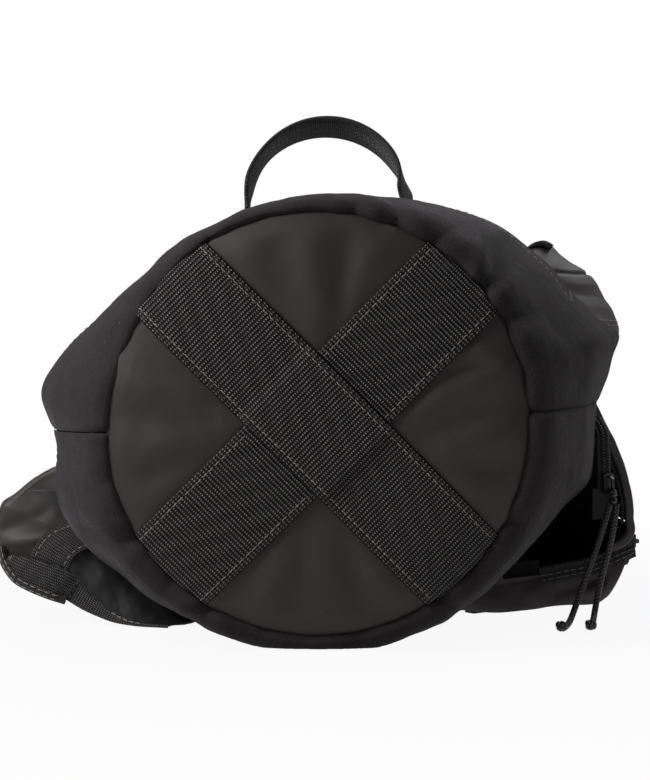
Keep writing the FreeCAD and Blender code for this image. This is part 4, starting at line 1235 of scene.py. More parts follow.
def slipPocket(spec, skin):
    keys = np.linspace(0, 1, len(spec["front"]))
    along = np.linspace(0, 1, 170)
    lines = np.array([smoothThrough(keys, spec[name], along)
                      for name in ("front", "crest", "rear")])
    depths = np.linspace(spec["depths"][0], spec["depths"][-1], 110)
    near = np.clip((depths - depths[0]) / (spec["depths"][1] - depths[0]), 0, 1)
    near = np.sin(near * math.pi / 2) ** 0.9
    far = np.clip((depths - spec["depths"][1]) / (depths[-1] - spec["depths"][1]), 0, 1) ** 1.3
    flat = (lines[0][None] * (1 - near)[:, None, None]
            + lines[1][None] * (near - far)[:, None, None]
            + lines[2][None] * far[:, None, None])
    y = np.broadcast_to(baseSpec["seamY"] + depths[:, None], flat.shape[:2])
    grid = np.stack([flat[..., 0], y, flat[..., 1]], -1)
    normals = turnTo(gridNormals(grid, False), (40, 60), (1.0, 0.0, 0.6))
    places = grid.reshape(-1, 3) * np.array((1, 0.5, 1))
    lift = softNoise(places, 16.0, 51.0).reshape(flat.shape[:2]) * 0.7
    for height, wide, deep in spec["creases"]:
        bend = height + 1.5 * np.sin(depths / 17.0 + height)[:, None]
        near = np.exp(-((depths - 116) / 34.0) ** 2)[:, None]
        lift -= deep * np.exp(-(np.abs(grid[..., 2] - bend) / wide) ** 1.4) * near
    edge = np.minimum(depths - depths[0], depths[-1] - depths)
    tucked = 2.2 * np.exp(-(depths[-1] - depths) / 2.0)
    lift = lift * np.clip(edge / 4.0, 0.3, 1)[:, None] - tucked[:, None]
    grid = grid + normals * lift[..., None]
    # the pocket lies on the body, never inside it
    middle = np.array(bodySpec["centres"][0], float)
    for r, d in enumerate(depths):
        ring = np.array([skin.at(a, d)[0] for a in np.radians(np.arange(-20, 100, 1.0))])
        ring = ring[:, [0, 2]] - middle
        away = grid[r][:, [0, 2]] - middle
        size = np.hypot(*away.T)
        body = np.interp(np.arctan2(*away.T[::-1]), np.arctan2(*ring.T[::-1]), np.hypot(*ring.T))
        longer = np.maximum(size, body + spec["clear"]) / size
        grid[r, :, 0] = middle[0] + away[:, 0] * longer
        grid[r, :, 2] = middle[1] + away[:, 1] * longer
    cloth = Cloth()
    cloth.grid(grid)
    cloth.make("slipPocket", bodyNylon, replaces=["side_pocket_panel"],
               thickness=spec["thickness"])
    # the bound upper edge, a strip of ribbed tape folded over the nylon
    line = smoothThrough(np.linspace(0, 1, 4), spec["strip"], np.linspace(0, 1, 16))
    rows = np.arange(spec["depths"][0] + 10.0, spec["depths"][-1], 0.35)
    rib = 0.22 * np.abs(np.sin(math.pi * rows / spec["ribPitch"]))
    strip = Cloth()
    out = np.gradient(line, axis=0)
    out = unit(np.stack([-out[:, 1], out[:, 0]], 1))
    ring = np.concatenate([line + out * 0.8, (line - out * 1.2)[::-1]])
    lifted = np.concatenate([out, 0 * out])
    flat = ring[None] + lifted[None] * rib[:, None, None]
    drop = np.clip((rows - rows[0]) / 100.0, 0, 1)[:, None] * 9.0
    y = np.broadcast_to(baseSpec["seamY"] + rows[:, None], flat.shape[:2])
    places = np.stack([flat[..., 0] - drop * 0.4, y, flat[..., 1] - drop], -1)
    strip.grid(np.concatenate([places, places[:, :1]], 1), flip=True)
    strip.faces.append(tuple(range(places.shape[1])))
    strip.make("slipPocketBinding", binding, replaces=["side_pocket_binding"])
    sewn = Cloth()
    for shift in (0.0, 2.6):
        place = [np.interp(-(spec["seamZ"] + shift), -row[60:, 2], np.arange(60, len(row)))
                 for row in grid]
        spots = np.array([grid[r, int(c)] * (1 - c % 1) + grid[r, min(int(c) + 1, 169)] * (c % 1)
                          for r, c in enumerate(place)])
        facing = np.array([normals[r, int(c)] for r, c in enumerate(place)])
        sew(sewn, spots + facing * 0.1, facing, 53)
    for inset in (2.5, 5.0):
        row = int(inset / (depths[1] - depths[0]))
        sew(sewn, grid[-row - 2, 20:-10], normals[-row - 2, 20:-10], 54)
    sewn.make("slipPocketStitches", thread)


slipPocket(slipSpec, bodySkin)


# zips

zipSpec = {"pitch": 1.5, "coilWidth": 2.6, "gap": 1.0, "height": 1.8, "wire": 0.42, "tape": 7.0,
           "thickness": 0.8,
           "inner": 0.15, "spread": 0.86, "behind": 0.95}


def coilTeeth(cloth, line, normals, spec, side=1.0, shift=0.0):
    # the loops of one coil, each crossing the row at a slight slant
    both = np.hstack([np.asarray(line, float), np.asarray(normals, float)])
    dense = evenLine(both, spec["pitch"])
    tangent = np.gradient(dense[:, :3], axis=0)
    for place, normal, run in zip(dense[:, :3], dense[:, 3:], tangent):
        run = unit(run)
        normal = unit(normal)
        across = np.cross(run, normal) * side
        half = spec["coilWidth"] / 2
        high = spec["height"] / 2 - spec["wire"]
        start = place + run * shift
        path = [start - across * half - normal * high * 0.6,
                start - across * half * 0.8 + normal * high + run * 0.1,
                start + across * half * 0.35 + normal * high + run * 0.45,
                start + across * half + run * 0.55,
                start + across * half * 0.3 - normal * high + run * 0.6]
        cloth.tube(path, spec["wire"], 6, up=run)


def zipTapeStrip(cloth, line, across, low, high):
    widths = np.linspace(low, high, 9)
    line = evenLine(np.hstack([np.asarray(line, float), np.asarray(across, float)]), 1.2)
    grid = line[:, None, :3] + line[:, None, 3:] * widths[None, :, None]
    cloth.grid(grid)


def closedZip(name, start, travel, normal, length, chainNode, tapeNode, spec, widths=None,
              hide=None):
    travel = unit(np.array(travel, float))
    normal = unit(np.array(normal, float))
    across = np.cross(normal, travel)
    run = np.linspace(0, length, 60)[:, None]
    line = np.array(start) + travel * run
    if hide:
        share = np.clip((run - hide["from"]) / (length - hide["from"]), 0, 1)
        line = line + np.array(hide["shift"]) * share ** 1.6
    teeth = Cloth()
    tape = Cloth()
    middle = (spec["gap"] + spec["coilWidth"]) / 2
    reach = spec["gap"] / 2 + spec["coilWidth"]
    widths = widths or (spec["tape"], spec["tape"])
    steady = np.tile(normal, (60, 1))
    flat = np.tile(across, (60, 1))
    for side, wide, shift in ((1, widths[0], 0.0), (-1, widths[1], spec["pitch"] / 2)):
        coilTeeth(teeth, line + across * middle * side * spec["spread"], steady, spec, side, shift)
        # the two woven edges nearly meet behind the coils
        zipTapeStrip(tape, line - normal * spec["behind"], flat * side, spec["inner"], reach + wide)
    teeth.make(name + "Coils", coilPlastic, replaces=[chainNode])
    tape.make(name + "Tapes", zipTape, replaces=[tapeNode],
              thickness=spec["thickness"], offset=0.0)


endZip = {"halfLength": 140.0, "y": 204.6, "height": 80.0, "slotHalf": 10.7, "thickness": 1.4,
          "piping": 2.0}
closedZip("mouthZip", (-endZip["halfLength"], endZip["y"], endZip["height"]), (1, 0, 0), (0, 1, 0),
          2 * endZip["halfLength"], "end_zip_chain", "end_zip_tape", zipSpec)

pocketZip = {"x": 172.6, "z": 43.5, "front": -92.4, "back": 41.0}
closedZip("pocketZip", (pocketZip["x"], pocketZip["front"], pocketZip["z"]), (0, 1, 0), (1, 0, 0),
          pocketZip["back"] - pocketZip["front"], "compartment_zip_chain", "compartment_zip_tape",
          zipSpec)

sideZip = {"low": (157.5, -105.2, 71.0), "rise": (-1.5, 0.0, 47.0), "turn": 35.0, "near": 2.0,
           "far": 1.2}


def sideZipPieces(spec):
    travel = np.array(spec["rise"])
    length = np.linalg.norm(travel)
    turn = math.radians(spec["turn"])
    facing = np.cross((math.cos(turn), math.sin(turn), 0.0), travel)
    closedZip("sideZip", spec["low"], travel, facing, length, "side_zip_chain", "side_zip_tape",
              zipSpec,
              (spec["near"], spec["far"]), {"from": 32.0, "shift": (-8.0, 9.0, 0.0)})


sideZipPieces(sideZip)


# mouth panel

def mouthPanel(spec, outline):
    # the flat end panel in two halves, each sewn to a zip tape
    line = smoothLoop(outline, 720)
    centre = np.array((0.0, spec["height"]))
    away = line - centre
    ring = centre + away * (1 - 2.2 / np.linalg.norm(away, axis=1, keepdims=True))
    cloth = Cloth()
    sewn = Cloth()
    for sign in (1, -1):
        use = ring[(ring[:, 1] - spec["height"]) * sign > 0.4]
        use = use[np.argsort(use[:, 0])]
        outer = evenLine(use, 1.6)
        reach = spec["halfLength"] + 6
        fall = np.clip((reach + 6 - np.abs(outer[:, 0])) / 8.0, 0, 1)
        inner = np.stack([np.clip(outer[:, 0], -reach - 12, reach + 12) * 0.985,
                          spec["height"] + sign * (0.4 + (spec["slotHalf"] - 0.4) * fall)], 1)
        share = np.linspace(0, 1, 22)[:, None, None]
        flat = inner[None] * (1 - share) + outer[None] * share
        wave = 0.7 * np.sin(math.pi * share[..., 0]) * np.sin(flat[..., 0] / 21.0 + sign)
        y = np.full(wave.shape, spec["y"] - 0.4) + wave - 0.6 * share[..., 0] ** 6
        grid = np.stack([flat[..., 0], y, flat[..., 1]], -1)
        cloth.grid(grid, flip=sign > 0)
        for far in (2.0, 5.0):
            row = np.stack([np.linspace(-138, 138, 300), np.full(300, spec["y"] + 0.35),
                            np.full(300, spec["height"] + sign * (spec["slotHalf"] + far))], 1)
            sew(sewn, row, (0.0, 1.0, 0.0), 61)
    cloth.make("mouthPanel", bodyNylon, replaces=["end_panel"],
               thickness=spec["thickness"])
    sewn.make("mouthStitches", darkThread)
    piping = Cloth()
    edge = evenLine(line, 1.5, True)
    rim = np.stack([edge[:, 0], np.full(len(edge), spec["y"] + 0.2), edge[:, 1]], 1)
    piping.tube(rim, spec["piping"], 12, closed=True)
    piping.make("mouthPiping", binding)


mouthPanel(endZip, bodySpec["mouth"])
print("mouth and zips made")


# grab handle

handleSpec = {
    "pivot": (5.0, 3.8, 237.2445), "radius": 47.8, "leg": 3.0, "lean": 14.0, "half": 12.5,
    "foot": 7.0,
    "below": 6.5, "taper": 14.0, "layer": 1.5, "ribPitch": 1.3, "relief": 0.07, "rows": (-2.6, 1.4),
    "crownLean": 5.5, "leftTwist": 6.0, "rightTwist": 25.0, "wave": 1.6,
    "stitch": {"pitch": 3.0, "length": 1.7, "thread": 0.38, "lift": 0.12, "seed": 71},
}


def handleFrame(spec):
    # middle line of the arch with its width and outward directions, in the bag's frame
    radius = spec["radius"]
    t = np.linspace(0, math.pi, 420)
    arch = np.stack([-radius * np.cos(t), 0 * t, spec["leg"] + radius * np.sin(t)], 1)
    low = np.linspace(-spec["below"], spec["leg"], 30)[:-1]
    left = np.stack([-radius + 0 * low, 0 * low, low], 1)
    right = np.stack([radius + 0 * low[::-1], 0 * low, low[::-1]], 1)
    line = evenLine(np.vstack([left, arch, right]), spec["ribPitch"] / 5)
    tangent = unit(np.gradient(line, axis=0))
    out = np.stack([-tangent[:, 2], 0 * tangent[:, 0], tangent[:, 0]], 1)
    narrow = np.clip(line[:, 2] / spec["taper"], 0, 1)
    narrow = narrow * narrow * (3 - 2 * narrow)
    half = spec["foot"] + (spec["half"] - spec["foot"]) * narrow
    foot = np.clip(line[:, 2] + spec["foot"], 0, spec["foot"])
    rounded = np.sqrt(np.maximum(spec["foot"] ** 2 - (spec["foot"] - foot) ** 2, 9.0))
    half = np.where(line[:, 2] < 0, rounded, half)
    across = np.tile((0.0, 1.0, 0.0), (len(line), 1))
    far = np.arange(len(line)) * spec["ribPitch"] / 5
    # the webbing leans over at its crown and twists near each foot, in degrees
    twist = (-spec["crownLean"] * np.sin(math.pi * far / far[-1]) ** 2
             + spec["rightTwist"] * np.exp(-((far[-1] - far - 12.0) / 13.0) ** 2)
             - spec["leftTwist"] * np.exp(-((far - 20) / 16.0) ** 2)
             + spec["wave"] * np.sin(far / 23.0))
    turn = np.radians(twist)[:, None]
    across, out = (across * np.cos(turn) + out * np.sin(turn),
                   out * np.cos(turn) - across * np.sin(turn))
    return line, across, out, half, far


def leanBack(points, spec):
    turn = math.radians(-spec["lean"])
    points = np.asarray(points, float)
    y = points[..., 1] * math.cos(turn) - points[..., 2] * math.sin(turn)
    z = points[..., 1] * math.sin(turn) + points[..., 2] * math.cos(turn)
    return np.stack([points[..., 0], y, z], -1)


def grabHandle(spec):
    line, across, out, half, far = handleFrame(spec)
    pivot = np.array(spec["pivot"])
    # both faces of the webbing, from edge to edge and back
    steps = np.linspace(-1, 1, 25)
    place = np.concatenate([steps, steps[::-1]])[None]
    face = np.repeat((1.0, -1.0), 25)[None]
    wide = place * half[:, None]
    rib = np.abs(np.sin(math.pi * far / spec["ribPitch"]))[:, None] * spec["relief"]
    groove = 0.25 * np.exp(-((np.abs(wide) - half[:, None] + 3.0) / 0.5) ** 2)
    high = face * (spec["layer"] * (1.0 - 0.35 * np.abs(place) ** 6) + rib - spec["relief"]
                   - groove)
    grid = line[:, None] + across[:, None] * wide[..., None] + out[:, None] * high[..., None]
    cloth = Cloth()
    cloth.sleeve(leanBack(grid, spec) + pivot, np.stack([wide, far[:, None] + 0 * wide], -1))
    cloth.make("grabHandle", handleWebbing, "handle", ["grab_handle"])
    sewn = Cloth()
    for face in (1, -1):
        for place in spec["rows"]:
            row = line + across * place + out * (face * (spec["layer"] + 0.02))
            row = leanBack(row, spec) + pivot
            sewRow(sewn, row[60:-60], leanBack(out * face, spec)[60:-60], spec["stitch"])
    sewn.make("grabHandleStitches", thread, "handle")


grabHandle(handleSpec)

patchSpec = {"feet": (-42.8, 52.8), "halfLength": 20.0, "halfWidth": 15.5, "depth": 200.0,
             "lift": 1.9,
             "thickness": 1.5, "ribPitch": 1.6}


def handlePatches(spec, skin):
    # webbing squares that carry the handle's feet, each sewn round its edge and across
    cloth = Cloth()
    sewn = Cloth()
    for foot in spec["feet"]:
        xs = np.linspace(foot - spec["halfLength"], foot + spec["halfLength"], 56)
        ds = np.linspace(spec["depth"] - spec["halfWidth"], spec["depth"] + spec["halfWidth"], 34)
        top = []
        for d in ds:
            ring = np.array([skin.at(a, d)[0] for a in np.radians(np.arange(20, 160, 1.0))])
            order = np.argsort(ring[:, 0])
            top.append(np.interp(xs, ring[order, 0], ring[order, 2]))
        top = np.array(top) + spec["lift"]
        rib = 0.14 * np.abs(np.sin(math.pi * xs / spec["ribPitch"]))[None, :]
        y = np.tile(baseSpec["seamY"] + ds[:, None], (1, len(xs)))
        grid = np.stack([np.tile(xs, (len(ds), 1)), y, top + rib], -1)
        cloth.grid(grid)
        cloth.maps[-1] = cloth.maps[-1][:, ::-1].copy()

        def spot(u, v):
            # the point at a share of the patch's length and width
            c = u * (len(xs) - 1)
            r = v * (len(ds) - 1)
            i = min(int(r), len(ds) - 2)
            j = min(int(c), len(xs) - 2)
            a = grid[i, j] * (1 - c + j) + grid[i, j + 1] * (c - j)
            b = grid[i + 1, j] * (1 - c + j) + grid[i + 1, j + 1] * (c - j)
            return a * (1 - r + i) + b * (r - i)

        box = [(0.08, 0.1), (0.92, 0.1), (0.92, 0.9), (0.08, 0.9), (0.08, 0.1)]
        for corners in (box, [(0.08, 0.1), (0.92, 0.9)], [(0.92, 0.1), (0.08, 0.9)]):
            way = evenLine(corners, 0.03)
            sew(sewn, [spot(u, v) for u, v in way], (0.0, 0.0, 1.0), 75)
    cloth.make("handlePatches", narrowWebbing, replaces=["handle_patches"],
               thickness=spec["thickness"])
    sewn.make("handlePatchStitches", thread)


handlePatches(patchSpec, bodySkin)
print("handle made")


# back compartment
pocketSpec = {
    "floor": 10.0, "sag": 6.0, "front": 101.0, "wingEnd": 240.0, "end": 385.0, "tailTop": 44.6,
    "lip": [(100.0, 26.5), (122.0, 29.0), (150.0, 34.8), (160.0, 38.6), (174.0, 44.5),
            (178.0, 40.0)],
    "right": [(0, 0), (50, 0), (100, 0), (140, 0.4), (156, 1.2), (163, 9), (169, 20), (174, 30),
              (177, 37), (177.5, 44), (173, 53), (154, 67), (122, 79), (70, 85), (0, 85)],
    "left": [(70, 87), (122, 83), (143, 76.5), (156, 70), (167, 61.5), (174, 53), (178, 41),
             (177, 30), (172, 18), (162, 8), (142, 2.5), (100, 0.5), (50, 0)],
    "thickness": 1.4,
    # folds on the front wall: two ends, half width and height
    "folds": [(-172, 64, -140, 52, 5, 2.6), (-176, 50, -150, 60, 4, -2.0),
              (-166, 44, -142, 47, 3, 1.8), (-150, 74, -138, 60, 5, -2.0),
              (128, 15, 156, 24, 4, -1.8), (120, 12, 150, 16, 5, 1.6), (158, 12, 160, 33, 3, 1.6)],
}


def pocketOutline(spec):
    # outline of the compartment from its floor up the right side, over the roof and down the left
    right = [(x, spec["floor"] + z) for x, z in spec["right"]]
    return right + [(-x, spec["floor"] + z) for x, z in spec["left"]]


def foldedSkin(grid, normals, spec):
    places = grid.reshape(-1, 3) * np.array((1.0, 0.6, 1.0))
    shape = grid.shape[:2]
    lift = (softNoise(places, 30.0, 21.0) * -1.9
            - softNoise(places, 10.0, 25.0) * 0.5).reshape(shape)
    x = grid[..., 0]
    z = grid[..., 2]
    front = np.clip((-86.0 - grid[..., 1]) / 8.0, 0, 1)
    for x0, z0, x1, z1, wide, high in spec["folds"]:
        far = toSegment(x, z, x0, z0, x1, z1)[1]
        lift += high * front * np.exp(-(far / wide) ** 1.6)
    calm = np.clip((z - 12) / 8, 0.15, 1)
    grid = grid + normals * (lift * calm)[..., None]
    behind = np.clip(grid[..., 1] + 97, 0, None)
    sag = (spec["sag"] * np.exp(-((x - 102) / 36) ** 2 - (behind / 24) ** 2)
           * np.clip((26 - z) / 12, 0, 1))
    grid[..., 2] = np.maximum(grid[..., 2], 9.6) - sag
    return grid


def backCompartment(spec):
    line = smoothLoop(pocketOutline(spec), 900)
    around = np.arctan2(line[:, 1] - 45.0, line[:, 0])
    start = math.radians(150.0)
    order = np.argsort((around - start) % (2 * math.pi))
    line = line[order]
    # the skin runs from the roof on the left, under the bag and up to the zip on the right
    stop = np.where((line[:, 0] > 150) & (line[:, 1] > 38.5))[0][0]
    line = evenLine(line[:stop], 1.5)
    count = len(line)
    heading = unit(np.gradient(line, axis=0))
    outward = np.stack([heading[:, 1], -heading[:, 0]], 1)
    lip = np.array(spec["lip"])
    hidden = np.stack([line[:, 0] * 0.55, 52 + (line[:, 1] - 52) * 0.25], 1)
    high = np.maximum(np.interp(line[:, 0], lip[:, 0], lip[:, 1]), line[:, 1])
    alongLip = np.stack([line[:, 0], high], 1)
    second = np.arange(count)[:, None] > count * 0.45
    rightSide = np.clip((line[:, 0] - 90.0) / 8.0, 0, 1)[:, None] * second
    end = hidden * (1 - rightSide) + alongLip * rightSide
    rows = []
    depths = []

    def row(flat, depthValue, push=0.0):
        rows.append(np.stack([flat[:, 0], np.zeros(count) + push, flat[:, 1]], 1))
        depths.append(depthValue)

    for share in np.linspace(1.0, 0.0, 34)[:-1]:
        bulge = 5.0 * math.sin(math.pi * min(share * 1.25 + 0.1, 1.0)) ** 0.7
        row(line * (1 - share) + end * share, spec["front"],
            1.0 - bulge * (1 - rightSide[:, 0] * 0.7))
    for t in np.linspace(0, 1, 8):
        turn = t * math.pi / 2
        row(line - outward * 1.5 * (1 - math.sin(turn)), spec["front"],
            1 + 5 * (1 - math.cos(turn)))
    for d in np.linspace(spec["front"] + 9, spec["wingEnd"] - 12, 60):
        row(line, d)
    tray = np.stack([line[:, 0], np.minimum(line[:, 1], spec["tailTop"])], 1)
    for t in np.linspace(0, 1, 20)[1:]:
        ease = t * t * (3 - 2 * t)
        row(line * (1 - ease) + tray * ease, spec["wingEnd"] - 12 + 14 * t)
    grid = np.array(rows)
    grid[..., 1] += baseSpec["seamY"] + np.array(depths)[:, None]
    grid = foldedSkin(grid, gridNormals(grid, False), spec)
    cloth = Cloth()
    cloth.grid(grid, flip=True)
    # the flat rear part below the body, closed all round and at its end
    tail = smoothLoop(pocketOutline(spec), 420)
    over = np.clip(tail[:, 1] - spec["tailTop"], 0, 3)
    tail[:, 1] = np.minimum(tail[:, 1], spec["tailTop"] - 0.6 * over)
    count = len(tail)
    rows = []
    depths = []
    for d in np.linspace(spec["wingEnd"] - 3, spec["end"] - 5, 64):
        row(tail, d)
    for t in np.linspace(0, 1, 12)[1:]:
        turn = min(t / 0.5, 1.0) * math.pi / 2
        inset = 4.0 * (1 - math.cos(turn)) + max(t - 0.5, 0) * 25.0
        close = max(1 - inset / 16.6, 0.02)
        flat = np.stack([tail[:, 0] * (1 - inset / 178), 27.3 + (tail[:, 1] - 27.3) * close], 1)
        row(flat, spec["end"] - 5 + 5 * math.sin(turn))
    grid = np.array(rows)
    grid[..., 1] += baseSpec["seamY"] + np.array(depths)[:, None]
    normals = turnTo(gridNormals(grid, True), (20, 0), (0.0, 0.0, -1.0))
    grid = foldedSkin(grid, normals * 0.6, dict(spec, folds=[]))
    cloth.grid(grid, closed=True, flip=True)
    cloth.make("compartmentSkin", bodyNylon, replaces=["compartment_shell"],
               thickness=spec["thickness"])


backCompartment(pocketSpec)

liningSpec = {
    # inner wall of the open side, by height: x at the flap, x half way back, x at the body
    "walls": [(36, 172, 166, 128), (50, 168, 160, 112), (64, 166.5, 158, 116), (78, 164, 156, 130),
              (92, 160, 153, 140), (106, 154, 150, 143)],
    "depths": (108.0, 150.0, 200.0, 232.0),
    "thickness": 1.0, "wingDepth": 236.0, "wingThickness": 1.2,
}


def compartmentLining(spec):
    heights = np.linspace(spec["walls"][0][0], spec["walls"][-1][0], 60)
    walls = smoothThrough([w[0] for w in spec["walls"]], [w[1:] for w in spec["walls"]], heights)
    keys = np.linspace(0, 1, 70)
    flap, half, body = walls.T
    inner = np.stack([flap, flap * 0.55 + half * 0.45, half * 0.75 + body * 0.25, body])
    x = smoothThrough(np.linspace(0, 1, 4), inner, keys).T
    depths = smoothThrough(np.linspace(0, 1, 4), np.array(spec["depths"])[:, None], keys)[:, 0]
    y = baseSpec["seamY"] + np.tile(depths, (60, 1))
    z = np.tile(heights[:, None], (1, 70))
    places = np.stack([x, y * 0.5, z], -1).reshape(-1, 3)
    bump = softNoise(places, 18.0, 61.0).reshape(x.shape) * 1.6
    cloth = Cloth()
    cloth.grid(np.stack([x + bump, y, z], -1))
    cloth.make("compartmentLining", lining, thickness=spec["thickness"])
    # the outer side of the same wall, behind the flap
    outer = Cloth()
    t = np.linspace(0, 1, 40)[None, :]
    far = body[:, None] * (1 - t) + (flap[:, None] + 4.0) * t
    back = baseSpec["seamY"] + spec["wingDepth"] + 3.0 * np.sin(math.pi * t) + 0 * far
    outer.grid(np.stack([far, back, np.tile(heights[:, None], (1, 40))], -1), flip=True)
    outer.make("compartmentWingEnd", bodyNylon, thickness=spec["wingThickness"])


compartmentLining(liningSpec)

gussetSpec = {
    # lines down the puffed nylon below the band: at the webbing, its crown, and under the band
    "webbing": [(-140, -102, 50), (-137, -107, 34), (-130, -108.5, 24), (-119, -110, 13),
                (-108, -113, 5), (-98, -117, 1.6), (-84, -120, 1.2)],
    "crown": [(-129, -102.5, 48), (-124, -104.5, 38), (-114, -106, 27), (-103, -107.5, 17),
              (-93, -110, 8.5), (-84, -112, 3.4), (-74, -114, 1.6)],
    "band": [(-121, -93, 56), (-110, -93, 44), (-98, -94, 35), (-85, -95, 27), (-72, -97, 18),
             (-64, -100, 8), (-62, -103, 1.6)],
    "thickness": 1.2,
}


def cornerGusset(spec):
    keys = np.linspace(0, 1, 7)
    down = np.linspace(0, 1, 90)
    rails = np.array([smoothThrough(keys, spec[name], down)
                      for name in ("webbing", "crown", "band")])
    around = np.linspace(0, 1, 60)
    grid = smoothThrough([0.0, 0.45, 1.0], rails.reshape(3, -1), around).reshape(60, 90, 3)
    normals = gridNormals(grid, False)
    normals = turnTo(normals, (30, 40), (0.0, -1.0, 0.0))
    places = grid.reshape(-1, 3)
    bump = softNoise(places, 15.0, 71.0) * 1.2 + softNoise(places, 6.0, 73.0) * 0.35
    bump = bump.reshape(60, 90)
    edge = np.minimum(around, 1 - around)[:, None]
    grid = grid + normals * (bump * np.clip(edge * 8, 0, 1))[..., None]
    grid[..., 2] = np.maximum(grid[..., 2], 0.9)
    cloth = Cloth()
    cloth.grid(grid)
    # the gusset's darker nylon is painted shade under the band
    cloth.make("cornerGusset", gussetNylonPaintedShade, thickness=spec["thickness"])


cornerGusset(gussetSpec)
lipSpec = {"tape": 0.8, "tab": 0.9, "line": [(122.0, 29.0), (136.0, 31.8), (150.0, 34.8),
                                             (160.0, 38.6), (174.2, 44.7)], "y": -96.3,
           "tabLow": (102.0, 23.6), "tabHigh": (121.6, 32.2)}


def lipZip(spec):
    xs = [p[0] for p in spec["line"]]
    flat = evenLine(smoothThrough(xs, spec["line"], np.linspace(xs[0], xs[-1], 60)), 0.8)
    y = spec["y"]
    line = np.stack([flat[:, 0], np.full(len(flat), y - 0.6), flat[:, 1]], 1)
    normals = np.tile((0.0, -1.0, 0.15), (len(line), 1))
    down = np.tile((0.12, 0.05, -1.0), (len(line), 1))
    teeth = Cloth()
    coilTeeth(teeth, line, normals, zipSpec)
    teeth.make("lipCoil", coilPlastic)
    tape = Cloth()
    zipTapeStrip(tape, line + np.array((0, 1.0, 0)), down, -1.2, 9.0)
    tape.make("lipTape", zipTape, replaces=["lip_zip_half"],
              thickness=spec["tape"])
    sewn = Cloth()
    for far in (4.0, 6.6):
        row = line + down / 1.01 * far + np.array((0, 0.2, 0))
        sew(sewn, row, normals, 81)
    sewn.make("lipStitches", thread)
    # the folded end tab, rolled at its lower edge
    tab = Cloth()
    xs = np.linspace(spec["tabLow"][0], spec["tabHigh"][0], 26)
    zs = np.linspace(spec["tabLow"][1], spec["tabHigh"][1], 20)
    grid = np.zeros((20, 26, 3))
    for r, z in enumerate(zs):
        roll = math.exp(-((z - zs[0]) / 1.3) ** 2) + 0.5 * math.exp(-((z - zs[-1]) / 1.2) ** 2)
        for c, x in enumerate(xs):
            grid[r, c] = (x, y - 1.2 - roll - 0.3 * math.sin(x * 0.7), z + 0.12 * (x - xs[0]))
    tab.grid(grid)
    # the tab's near black nylon is painted shade
    tab.make("zipEndTab", tabNylonPaintedShade, replaces=["zip_end_tab"],
             thickness=spec["tab"])


lipZip(lipSpec)

flapSpec = {
    "line": [(172.1, 54.5), (172.1, 62.0), (167.6, 84.0), (159.6, 104.0)],
    "front": -95.2, "back": 41.0, "boundWidth": 5.0, "boundStep": 0.35,
    "tape": 0.7, "behind": 5.3, "fill": 0.5,
}


def smoothLine(points):
    # a finer line through the points, eased at each
    points = np.asarray(points, float)
    far = distanceAlong(points)
    return smoothThrough(far, points, np.linspace(0, far[-1], 240))


